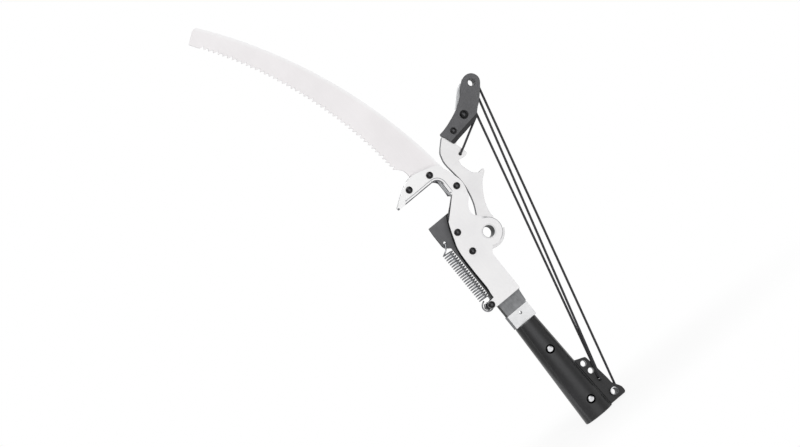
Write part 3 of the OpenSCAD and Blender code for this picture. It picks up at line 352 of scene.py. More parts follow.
@dataclass(frozen=True)
class HookPlateSteel(BrushedSteel):
    """The front plate's steel: bright along its hook, with painted shade in two lines along its ground edge and its
    bevel's crease, painted shade spots at the ends of that edge, painted shade on the edge below the mouth, and a
    soft painted outline of shade on the lower right of its pivot boss."""

    mouth_corner: Pair = (19.3, 363.6)
    mouth_r: float = 9.6
    waver: float = 0.5
    waver_size: float = 6.0
    waver_detail: float = 2.0
    bright_colour: str = "FFFFFF"
    bright_x: Pair = (42.0, -12.0)
    bright_z: Pair = (350.0, 376.0)
    # Painted shade: a dark strip along the hook's ground edge.
    land_shade_colour: str = "4A4B4E"
    land_depth: Pair = (1.9, 1.3)
    land_x: Pair = (-28.5, -26.0)
    land_z: Pair = (360.5, 364.5)
    # Painted shade: a thin grey line along the bevel's crease.
    crease_shade_colour: str = "A2A3A6"
    line_outer: Pair = (4.8, 4.3)
    line_inner: Pair = (3.4, 3.8)
    line_x: Pair = (-25.5, -23.5)
    line_z: Pair = (346.5, 351.0)
    # Painted shade: small dark spots at the hook's tip and at the ends of its ground edge.
    spot_shade_colour: str = "6E6F72"
    spot_shade_edge: Pair = (0.5, -0.4)
    shade_spots: tuple[Triple, ...] = ((-38.4, 374.4, 1.5), (29.8, 348.2, 0.9), (-23.9, 377.1, 0.7))
    # Painted shade, near black, on the wall and a face strip below the mouth.
    shade_edge_colour: str = "1C1C1E"
    shade_edge_top: Pair = (27.6, 344.6)
    shade_edge_across: Pair = (0.680, -0.733)
    shade_edge_w: Pair = (1.3, 0.9)
    shade_edge_z: Pair = (346.0, 344.6)
    shade_edge_foot_z: Pair = (316.0, 321.0)
    wall_facing: Pair = (-0.35, -0.55)
    wall_z: Pair = (347.0, 345.5)
    # Painted shade: a soft darker outline on the lower right of the pivot boss.
    boss_shade_colour: str = "8E8F92"
    boss: Pair = (36.8, 277.5)
    boss_rim: Pair = (17.9, 18.6)
    boss_x: Pair = (39.8, 44.8)
    boss_z: Pair = (300.0, 294.0)

    def mouth_depth(self, tree: Tree, at: dict[str, Socket]) -> Socket:
        """Gives how far a point stands back from the mouth's edge, with a slight waver.

        Args:
            tree: the material's tree.
            at: the position in millimetres.

        Returns:
            The depth in millimetres, which is negative inside the mouth.
        """
        beyond = [calc(tree, "MAXIMUM", calc(tree, "SUBTRACT", at[axis], centre), 0.0)
                  for axis, centre in zip("XZ", self.mouth_corner)]
        corner = add_node(tree, "ShaderNodeCombineXYZ", dict(enumerate(beyond)))
        reach = vector_math(tree, "LENGTH", corner.outputs[0]).outputs["Value"]
        depth = calc(tree, "SUBTRACT", reach, self.mouth_r)
        waver = clouds(tree, (self.waver_size,) * 3, self.waver_detail)
        return calc(tree, "MULTIPLY_ADD", waver, self.waver, depth)

    def shade_edge_share(self, tree: Tree, at: dict[str, Socket]) -> Socket:
        """Gives where painted shade darkens the plate below the mouth: its wall, and a thin strip of the face.

        Args:
            tree: the material's tree.
            at: the position in millimetres.

        Returns:
            The share of the painted shade.
        """
        corner = (self.shade_edge_top[0], 0.0, self.shade_edge_top[1])
        offset = vector_math(tree, "SUBTRACT", flat(tree, at), corner).outputs[0]
        across = (self.shade_edge_across[0], 0.0, self.shade_edge_across[1])
        inward = vector_math(tree, "DOT_PRODUCT", offset, across).outputs["Value"]
        strip = product(tree, ramp(tree, inward, *self.shade_edge_w), ramp(tree, at["Z"], *self.shade_edge_z),
                        ramp(tree, at["Z"], *self.shade_edge_foot_z))
        wall = product(tree, ramp(tree, facing(tree)["X"], *self.wall_facing), ramp(tree, at["Z"], *self.wall_z))
        return calc(tree, "MAXIMUM", strip, wall)

    def marks(self, tree: Tree, colour: Socket) -> Socket:
        """Draws the bright hook, the painted shade of its land and bevel crease, the painted shade spots, the
        painted shade below the mouth and the boss's painted outline of shade.
        """
        at = position(tree)
        x, z, depth = at["X"], at["Z"], self.mouth_depth(tree, at)
        colour = paint(tree, colour, self.bright_colour, (x, *self.bright_x), (z, *self.bright_z))
        # Painted shade along the ground edge, then along the bevel's crease.
        colour = paint(tree, colour, self.land_shade_colour, (depth, *self.land_depth), (z, *self.land_z),
                       (x, *self.land_x))
        colour = paint(tree, colour, self.crease_shade_colour, (depth, *self.line_outer), (depth, *self.line_inner),
                       (z, *self.line_z), (x, *self.line_x))
        # Painted shade spots.
        for shaded_x, shaded_z, r in self.shade_spots:
            away = distance(tree, (shaded_x, shaded_z))
            colour = paint(tree, colour, self.spot_shade_colour, (away, r + self.spot_shade_edge[0], r + self.spot_shade_edge[1]))
        # Painted shade below the mouth.
        colour = blend(tree, self.shade_edge_share(tree, at), colour, self.shade_edge_colour)
        # Painted shade on the boss's outline.
        return paint(tree, colour, self.boss_shade_colour, (distance(tree, self.boss), *self.boss_rim),
                     (x, *self.boss_x), (z, *self.boss_z))


@dataclass(frozen=True)
class InnerPlateSteel(BrushedSteel):
    """The rear plate's steel, with painted shade on its inner face, which looks to the front between the plates."""

    # Painted shade between the plates.
    inner_shade_colour: str = "4C4D50"
    inner_shade_facing: Pair = (-0.8, -0.95)

    def marks(self, tree: Tree, colour: Socket) -> Socket:
        """Darkens the face that looks to the front, between the plates, as painted shade."""
        return paint(tree, colour, self.inner_shade_colour, (facing(tree)["Y"], *self.inner_shade_facing))


@dataclass(frozen=True)
class ShadedBladeCoat(BrushedSteel):
    """The blade's coat: grey where it lies open, with painted shade, nearly black, where it lies between the
    plates.
    """

    # Painted shade where the plates shade the blade.
    blade_shade_colour: str = "161617"
    blade_shade_edge: Pair = (-1.3, -0.5)
    from_z: float = 259.5
    from_x: float = -12.4
    bend: float = 0.0043

    def marks(self, tree: Tree, colour: Socket) -> Socket:
        """Paints the shade on the part between the plates, up to a line that follows the plate's edge."""
        at = position(tree)
        rise = calc(tree, "MAXIMUM", calc(tree, "SUBTRACT", at["Z"], self.from_z), 0.0)
        edge = calc(tree, "MULTIPLY_ADD", calc(tree, "POWER", rise, 2.0), self.bend, self.from_x)
        past = calc(tree, "SUBTRACT", at["X"], edge)
        return paint(tree, colour, self.blade_shade_colour, (past, *self.blade_shade_edge))


@dataclass(frozen=True)
class HighlitSpineSteel(BrushedSteel):
    """The saw's steel, with a painted highlight on its rounded spine that brightens towards the edge."""

    spine_centre: Pair = (-634.2, 305.6)
    spine_highlight_r: Pair = (677.8, 682.4)
    # Painted highlight.
    spine_highlight_colour: str = "FFFFFF"

    def marks(self, tree: Tree, colour: Socket) -> Socket:
        """Paints the highlight along the spine."""
        return paint(tree, colour, self.spine_highlight_colour, (distance(tree, self.spine_centre), *self.spine_highlight_r))


@dataclass(frozen=True)
class ShadedZinc(Finish):
    """Zinc plate on a small round form, whose right side falls into its own shadow."""

    centre: Pair = (0.0, 0.0)
    lit_r: Pair = (1.0, 1.35)
    shade_colour: str = "3A3B3D"

    def marks(self, tree: Tree, colour: Socket) -> Socket:
        """Draws the shaded crescent beside the lit part."""
        return paint(tree, colour, self.shade_colour, (distance(tree, self.centre), *self.lit_r))


@dataclass(frozen=True)
class SunkScrewZinc(Finish):
    """Zinc plate on a screw that sits in a recess: bright in the middle, dark where the recess shades it."""

    lit_r: Pair = (3.7, 4.2)
    shade_colour: str = "2A2A2C"

    def marks(self, tree: Tree, colour: Socket) -> Socket:
        """Darkens the outer ring of each head."""
        return paint(tree, colour, self.shade_colour, (nearest_screw(tree), *self.lit_r))


@dataclass(frozen=True)
class FlowedNylon(Finish):
    """Moulded nylon: a fine eroded grain with faint flow lines along the pole."""

    grain_share: float = 0.4
    flow: Triple = (1.6, 1.6, 34.0)
    flow_detail: float = 3.0
    flow_stir: float = 0.4
    recess_r: Pair = (6.3, 6.0)
    # Painted shade in the screws' recesses.
    recess_shade_colour: str = "050506"
    # Painted highlight: the streak of sheen along the front.
    sheen_and_wear_colour: str = "343436"
    sheen_x: float = -2.5
    sheen_w: Pair = (9.0, 0.5)
    sheen_z: Pair = (20.0, 110.0)
    sheen_foot: float = 0.55
    front_y: Pair = (-6.0, -9.0)
    foot_colour: str = "262628"
    foot_x: Pair = (-4.0, -9.0)
    foot_z: Pair = (100.0, 40.0)
    # A paler line near the left edge, leaning slightly along the socket.
    pale_line_colour: str = "464648"
    pale_line_lean: float = 0.012
    pale_line_left: Pair = (-18.9, -18.2)
    pale_line_right: Pair = (-15.9, -16.8)

    def shine(self, tree: Tree) -> Socket:
        """Takes the shine out of the recesses, where no light gets down."""
        return mean(tree, ramp(tree, nearest_screw(tree), *self.recess_r), self.specular, 0.0)

    def marks(self, tree: Tree, colour: Socket) -> Socket:
        """Draws the painted highlight streak along the front, the paler foot, a paler line near the left edge and
        the painted shade in the recesses.
        """
        at = position(tree)
        x, z = at["X"], at["Z"]
        # Painted highlight streak along the front.
        away = calc(tree, "ABSOLUTE", calc(tree, "SUBTRACT", x, self.sheen_x))
        sheen = product(tree, ramp(tree, away, *self.sheen_w, interpolation_type="SMOOTHSTEP"),
                       ramp(tree, z, *self.sheen_z, low=self.sheen_foot), ramp(tree, at["Y"], *self.front_y))
        colour = blend(tree, sheen, colour, self.sheen_and_wear_colour)
        colour = paint(tree, colour, self.foot_colour, (x, *self.foot_x), (z, *self.foot_z))
        taper = calc(tree, "MULTIPLY_ADD", z, self.pale_line_lean, x)
        # The paler line near the left edge.
        colour = paint(tree, colour, self.pale_line_colour, (taper, *self.pale_line_left), (taper, *self.pale_line_right))
        # Painted shade in the recesses.
        return paint(tree, colour, self.recess_shade_colour, (nearest_screw(tree), *self.recess_r))

    def tone(self, tree: Tree, relief: Socket) -> Socket:
        """Gives the flow lines and the grain together."""
        return mean(tree, self.grain_share, clouds(tree, self.flow, self.flow_detail, self.flow_stir), relief)


@dataclass(frozen=True)
class PittedMetal(Finish):
    """Cast or sintered metal: rounded grains with small dark pits between them."""

    def relief(self, tree: Tree) -> Socket:
        """Gives the grains, from the distance to scattered points."""
        feeds = {"Vector": place(tree, (self.grain,) * 3), "Scale": 1.0}
        return add_node(tree, "ShaderNodeTexVoronoi", feeds, feature="SMOOTH_F1").outputs["Distance"]


@dataclass(frozen=True)
class SlopedCasting(PittedMetal):
    """A casting with painted shade on its downward slopes and in its recesses."""

    # Painted shade.
    casting_shade_colour: str = "29292B"
    slope_facing: Pair = (-0.3, -0.42)
    recess_y: Pair = (-5.8, -5.65)
    floor_facing: Pair = (-0.85, -0.95)

    def marks(self, tree: Tree, colour: Socket) -> Socket:
        """Darkens faces that look down, and the floor of the recess in the front face, as painted shade."""
        normal = facing(tree)
        colour = paint(tree, colour, self.casting_shade_colour, (normal["Z"], *self.slope_facing))
        return paint(tree, colour, self.casting_shade_colour, (position(tree)["Y"], *self.recess_y),
                     (normal["Y"], *self.floor_facing))


@dataclass(frozen=True)
class SocketHeadOxide(Finish):
    """Black oxide whose hex sockets were rubbed bright by the key."""

    socket_y: Pair = (-11.1, -10.9)
    floor_facing: Pair = (-0.9, -0.98)
    sheen_and_wear_colour: str = "6C6C6F"

    def marks(self, tree: Tree, colour: Socket) -> Socket:
        """Lightens the sockets' floors: faces that look to the front, deeper than the heads' tops."""
        return paint(tree, colour, self.sheen_and_wear_colour, (position(tree)["Y"], *self.socket_y),
                     (facing(tree)["Y"], *self.floor_facing))


@dataclass(frozen=True)
class RopeYarn(Finish):
    """Braided polyester: matt yarns with thin fibres, with painted shade where two yarns meet."""

    grain_share: float = 0.3

    def tone(self, tree: Tree, relief: Socket) -> Socket:
        """Gives the braid's height from the mesh, broken up by the fibres."""
        # The low places between the yarns take the darker colour as painted shade.
        height = add_node(tree, "ShaderNodeAttribute", attribute_name="braid_height")
        return mean(tree, self.grain_share, height.outputs["Fac"], relief)


# Glass-filled nylon 6, injection moulded: near black with a soft sheen, a painted highlight streak along its front,
# and faint flow lines.
NYLON = FlowedNylon("glass_filled_nylon", "1A1A1C", "101011", 0.0, 0.36, 0.06, grain=0.55, grain_depth=0.03,
                    specular=0.6, rim_shading_colour="2E2F31", rim_width=0.5)
# Satin polished stainless plate: very light, with fine lines that soften every reflection.
SATIN_SHEET: dict[str, Any] = {
    "colour": "FBFAFA", "shade": "F5F4F5", "metallic": 0.9, "roughness": 0.34, "roughness_spread": 0.05,
    "mottle": 40, "grain": 0.35, "grain_depth": 0.005, "edge_tone_and_shading": "6E6F72", "top_edge_light_colour": "E4E4E5",
}
PLATE = InnerPlateSteel("satin_stainless_plate", rim_shading_colour="CBCCCE", **SATIN_SHEET)
# The ring that locks the pivot is turned from the same steel.
RING_STEEL = BrushedSteel("turned_stainless_ring", "F4F3F3", "E6E5E6", 0.9, 0.3, 0.05, mottle=10, grain=0.3,
                          grain_depth=0.004, edge_tone_and_shading="6E6F72")
# The front plate is the same sheet, ground sharp along its hook.
HOOK_PLATE = HookPlateSteel("ground_stainless_hook_plate", rim_shading_colour="DEDEE0", **SATIN_SHEET)
# The lever is pressed from the same sheet, with its lines across it.
LEVER_PLATE = BrushedSteel("satin_stainless_lever", "F6F5F5", "EFEEEF", 0.9, 0.32, 0.05, mottle=36, grain=0.35,
                           grain_depth=0.005, edge_tone_and_shading="77787B", rim_shading_colour="88898C", rim_width=0.8, run=Axis.X)
# Ground and hardened carbon steel strip: light grey with long grinding lines, and a painted highlight along its
# spine.
SAW_STEEL = HighlitSpineSteel("ground_saw_steel", "FBF8F9", "F5F2F3", 0.9, 0.33, 0.05, mottle=60, grain=0.4,
                               grain_depth=0.006, edge_tone_and_shading="B4B3B4", top_edge_light_colour="E4E2E3",
                               rim_shading_colour="DEDCDD", line_length=60)
# Hot rolled steel bar with its mill skin: mid grey and blotchy, with painted shade, near black, on its cut edges
# and rims.
MILL_BAR = BrushedSteel("mill_finish_bar", "969799", "808183", 0.8, 0.5, 0.08, mottle=7, grain=0.8,
                        grain_depth=0.02, edge_tone_and_shading="1E1E20", rim_shading_colour="4A4B4D", rim_width=0.6)
# The spacers are sawn from the same bar, and their edges are painted light.
SAWN_BAR = BrushedSteel("sawn_spacer_bar", "939496", "808184", 0.8, 0.45, 0.08, mottle=7, grain=0.8,
                        grain_depth=0.02, edge_tone_and_shading="D2D3D5", run=Axis.X)
# Bright zinc plate on steel: pale, smooth and a little cloudy.
ZINC = Finish("bright_zinc_plate", "E4E4E6", "D6D7D9", 0.9, 0.3, 0.05, mottle=9, grain=1.4, grain_depth=0.004,
              rim_shading_colour="8C8D90", rim_width=0.4)
# The same plate on drawn tube: its ends are bright, and painted shade darkens its bore.
ZINC_TUBE = Finish("zinc_plated_tube", "E0E0E2", "D0D1D3", 0.9, 0.3, 0.05, mottle=9, grain=1.4,
                   grain_depth=0.004, edge_tone_and_shading="343537")
# Zinc plated strip bent round the tang: its rounded sides and cut ends are darker than its face, partly as their
# own duller plate and partly as painted shade.
FERRULE_ZINC = Finish("zinc_plated_ferrule", "F2F2F3", "E8E9EA", 0.9, 0.32, 0.05, mottle=9, grain=1.4,
                      grain_depth=0.004, edge_tone_and_shading="7E7F82", rim_shading_colour="B0B1B3", rim_width=0.4)
# The two screws in the socket are plated like the ferrule.
SCREW_ZINC = SunkScrewZinc("zinc_plated_screws", "F0F0F2", "DEDFE1", 0.9, 0.3, 0.05, mottle=2, grain=0.8,
                           grain_depth=0.004)
# Rolled zinc sheet, dull and pale.
ZINC_SHEET = Finish("dull_zinc_sheet", "D8D9DB", "CBCCCE", 0.5, 0.5, 0.06, mottle=9, grain=1.0, grain_depth=0.006)
# The bush for the line: its right side lies in the shade of its own barrel.
BUSH_ZINC = ShadedZinc("zinc_plated_bush", "F0F0F2", "DEDFE1", 0.9, 0.32, 0.05, mottle=3, grain=0.6,
                       grain_depth=0.004, edge_tone_and_shading="343537", centre=(33.1, 12.7), lit_r=(4.9, 5.25),
                       shade_colour="5A5B5D")
# The ferrule's dimple: bright on its dome, with a dark crescent on its right.
DIMPLE = ShadedZinc("zinc_plated_dimple", "F4F4F6", "E8E8EA", 0.8, 0.35, 0.05, mottle=2, grain=0.5,
                    grain_depth=0.004, centre=(1.3, 169.7), lit_r=(1.3, 1.65))
# Black oxide on steel: near black with an oily, low shine.
BLACK_OXIDE = SocketHeadOxide("black_oxide_steel", "1E1E20", "131314", 0.5, 0.38, 0.1, mottle=3, grain=0.5,
                              grain_depth=0.012)
# The block's two screws have the same oxide, and sit deeper.
BLOCK_OXIDE = replace(BLACK_OXIDE, name="black_oxide_block_screws", socket_y=(-8.1, -7.9))
# Dark fluoropolymer coat on the cutting blade: even grey with faint draw marks, with painted shade, nearly black,
# between the plates.
BLADE_COAT = ShadedBladeCoat("fluoropolymer_blade_coat", "6A6A6C", "5C5C5E", 0.25, 0.42, 0.06, mottle=18,
                            grain=0.6, grain_depth=0.012, edge_tone_and_shading="232325", rim_shading_colour="3C3C3E", rim_width=0.6)
# Powder coated zinc die casting: dark grey with a soft orange peel.
CASTING = SlopedCasting("powder_coated_casting", "656567", "59595B", 0.1, 0.47, 0.06, mottle=16, grain=1.1,
                        grain_depth=0.04, edge_tone_and_shading="454547", rim_shading_colour="38383A", rim_width=0.9)
# Sintered bronze: warm, with small pores that hold oil.
BRONZE = PittedMetal("sintered_bronze", "B98F55", "8A673A", 0.9, 0.38, 0.08, mottle=4, grain=0.5, grain_depth=0.03)
# Zinc plated spring wire: mid grey and a little cloudy.
SPRING_WIRE = Finish("plated_spring_wire", "A6A7AA", "7A7B7E", 0.85, 0.34, 0.08, mottle=2.5, grain=0.35,
                     grain_depth=0.01)
# Braided polyester rope: matt black yarns.
ROPE = RopeYarn("braided_polyester", "464648", "303032", 0.0, 0.86, 0.06, grain=0.25, grain_depth=0.02,
                specular=0.2)


class Wardrobe:
    """Keeps one Blender material for each finish."""

    def __init__(self) -> None:
        """Starts with no materials made."""
        self.made: dict[str, bpy.types.Material] = {}

    def get(self, finish: Finish) -> bpy.types.Material:
        """Gives the material of a finish, made once.

        Args:
            finish: the finish.

        Returns:
            Its material.
        """
        if finish.name not in self.made:
            self.made[finish.name] = finish.build()
        return self.made[finish.name]

    def dress(self, item: bpy.types.Object, finish: Finish) -> None:
        """Puts a finish on every slot of an object.

        Args:
            item: the object.
            finish: its finish.
        """
        material = self.get(finish)
        if not item.material_slots:
            item.data.materials.append(material)
        for slot in item.material_slots:
            slot.link = "OBJECT"
            slot.material = material


def new_object(name: str, data: bpy.types.ID) -> bpy.types.Object:
    """Puts an object into the scene.

    Args:
        name: its name.
        data: its mesh, camera or lamp.

    Returns:
        The object.
    """
    item = bpy.data.objects.new(name, data)
    bpy.context.scene.collection.objects.link(item)
    return item


def new_piece(name: str, points: Sequence[Vector], faces: Sequence[Sequence[int]], body: str,
              smooth: bool = True) -> bpy.types.Object:
    """Makes a mesh piece that rides on a body.

    Args:
        name: the piece's name.
        points: its vertices in metres.
        faces: its faces.
        body: the CAD body that it moves with. An empty name leaves it unattached.
        smooth: whether its faces shade smoothly.

    Returns:
        The new object.
    """
    mesh = bpy.data.meshes.new(name)
    mesh.from_pydata([tuple(p) for p in points], [], [tuple(f) for f in faces])
    mesh.validate()
    shape = bmesh.new()
    shape.from_mesh(mesh)
    bmesh.ops.recalc_face_normals(shape, faces=shape.faces)
    shape.to_mesh(mesh)
    shape.free()
    if smooth:
        mesh.shade_smooth()
    item = new_object(name, mesh)
    if body:
        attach(item, body)
    return item


@dataclass(frozen=True)
class Nut:
    """One hexagon nut: its axis, thread diameter, width across flats and height."""

    x: float
    z: float
    thread_d: float = 6.0
    width: float = 10.0
    height: float = 5.0


@dataclass(frozen=True)
class NutSet:
    """The nuts of one CAD node, with their body, material slot and finish."""

    node: str
    body: str
    slot: str
    finish: Finish
    nuts: tuple[Nut, ...]


NUT_SETS = (
    NutSet("hook_nuts", "head", "black_oxide", BLACK_OXIDE,
           (Nut(-11.6, 385.2), Nut(22.1, 383.1), Nut(41.7, 350.0))),
    NutSet("guide_nuts", "head", "black_oxide", BLACK_OXIDE, (Nut(3.3, 271.2), Nut(3.3, 302.4))),
    NutSet("spring_nut", "head", "black_oxide", BLACK_OXIDE, (Nut(-22.1, 201.3),)),
    NutSet("block_nuts", "lever_arm", "black_oxide", BLACK_OXIDE, (Nut(110.2, 415.6), Nut(85.3, 408.1, 5, 8, 4))),
    NutSet("tang_nut", "head", "zinc_steel", ZINC, (Nut(0.0, 108.4, 5, 8, 3.2),)),
)


@dataclass
class ChamferedNuts:
    """Hexagon nuts whose corners are turned off at 30 degrees, with a small countersink round the thread."""

    wardrobe: Wardrobe
    sets: tuple[NutSet, ...]
    sides: int = 48
    crown: float = 0.475
    chamfer: float = 30.0
    countersink: float = 0.4
    thread_fit: float = 0.02

    def profile(self, nut: Nut, turn: float) -> list[Pair]:
        """Gives the nut's section at an angle, from its seat round to its bore.

        Args:
            nut: the nut.
            turn: the angle from one of its corners, in degrees.

        Returns:
            Each ring's radius and height above the seat.
        """
        bore, crown_r = nut.thread_d / 2 + self.thread_fit, nut.width * self.crown
        r = nut.width / 2 / math.cos(math.radians(turn % 60 - 30))
        drop = math.tan(math.radians(self.chamfer)) * (r - crown_r)
        return [(bore, 0), (r, 0), (r, nut.height - drop), (crown_r, nut.height),
                (bore + self.countersink, nut.height), (bore, nut.height - self.countersink)]

    def shell(self, nut: Nut, seat: float, first: int) -> tuple[list[Vector], list[tuple[int, ...]]]:
        """Gives one nut's points and faces.

        Args:
            nut: the nut.
            seat: the Y of the face that it stands on, in millimetres.
            first: the number of its first point.

        Returns:
            The points in metres, and the faces.
        """
        turns = [step * 360 / self.sides for step in range(self.sides)]
        profiles = [self.profile(nut, turn) for turn in turns]
        rings = len(profiles[0])
        points = [Vector((nut.x + profiles[i][ring][0] * math.cos(math.radians(turn)), seat + profiles[i][ring][1],
                          nut.z + profiles[i][ring][0] * math.sin(math.radians(turn)))) * MM
                  for ring in range(rings) for i, turn in enumerate(turns)]
        faces = []
        for ring in range(rings):
            low, high = first + ring * self.sides, first + (ring + 1) % rings * self.sides
            for step in range(self.sides):
                after = (step + 1) % self.sides
                faces.append((low + step, low + after, high + after, high + step))
        return points, faces

    def build(self) -> None:
        """Makes every set and puts it in its CAD node's place."""
        for group in self.sets:
            points: list[Vector] = []
            faces: list[tuple[int, ...]] = []
            seat = min(vertex.co.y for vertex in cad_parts[group.node].data.vertices) / MM
            for nut in group.nuts:
                more_points, more_faces = self.shell(nut, seat, len(points))
                points += more_points
                faces += more_faces
            item = new_piece(f"chamfered_{group.node}", points, faces, group.body, smooth=False)
            self.wardrobe.dress(item, group.finish)
            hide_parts(group.node)
            LOG.info("%s: %d nuts", item.name, len(group.nuts))


def spot(at: Pair, y: float = 0.0) -> Vector:
    """Gives the point at (x, z) and a depth."""
    return Vector((at[0], y, at[1]))


def resample(path: Sequence[Vector], step: float) -> list[Vector]:
    """Spreads points evenly along a path.

    Args:
        path: the corner points.
        step: the wanted distance between the new points.

    Returns:
        The new points, with both ends kept.
    """
    lengths = [0.0]
    for a, b in zip(path, path[1:]):
        lengths.append(lengths[-1] + (b - a).length)
    count = max(2, round(lengths[-1] / step))
    points, i = [], 0
    for k in range(count + 1):
        at = lengths[-1] * k / count
        while i < len(path) - 2 and lengths[i + 1] < at:
            i += 1
        span = max(lengths[i + 1] - lengths[i], 1e-9)
        points.append(path[i].lerp(path[i + 1], min(1.0, max(0.0, (at - lengths[i]) / span))))
    return points


def sweep(path: Sequence[Vector], radius: Callable[[float, float], float], sides: int,
          round_ends: bool = False) -> tuple[list[Vector], list[list[int]], list[float]]:
    """Sweeps a round section along a path with as little twist as possible.

    Args:
        path: the centre line.
        radius: gives the radius from the angle round the line and the length along it.
        sides: points round the section.
        round_ends: whether the ends close as domes.

    Returns:
        The points, the faces and the radius of each point.
    """
    points: list[Vector] = []
    radii: list[float] = []
    normal: Vector | None = None
    tip_share = 0.04
    run = 0.0
    total = sum((b - a).length for a, b in zip(path, path[1:]))
    for i, at in enumerate(path):
        heading = (path[min(i + 1, len(path) - 1)] - path[max(i - 1, 0)]).normalized()
        if normal is None:
            normal = heading.orthogonal().normalized()
        normal = (normal - heading * normal.dot(heading)).normalized()
        side = heading.cross(normal)
        if i:
            run += (at - path[i - 1]).length
        for k in range(sides):
            angle = 2 * math.pi * k / sides
            r = radius(angle, run)
            if round_ends:
                near = min(run, total - run) / r
                r *= math.sqrt(max(tip_share, 1 - (1 - near) ** 2)) if near < 1 else 1
            radii.append(r)
            points.append(at + r * (math.cos(angle) * normal + math.sin(angle) * side))
    faces = [[i * sides + k, i * sides + (k + 1) % sides, (i + 1) * sides + (k + 1) % sides, (i + 1) * sides + k]
             for i in range(len(path) - 1) for k in range(sides)]
    faces.append(list(range(sides - 1, -1, -1)))
    faces.append([(len(path) - 1) * sides + k for k in range(sides)])
    return points, faces, radii


def arc(at: Pair, r: float, start: float, turn: float, steps: int) -> list[Pair]:
    """Gives the points of an arc as (x, z), from a first angle on. A negative turn runs clockwise."""
    return [(at[0] + r * math.cos(start + turn * i / steps), at[1] + r * math.sin(start + turn * i / steps))
            for i in range(steps + 1)]


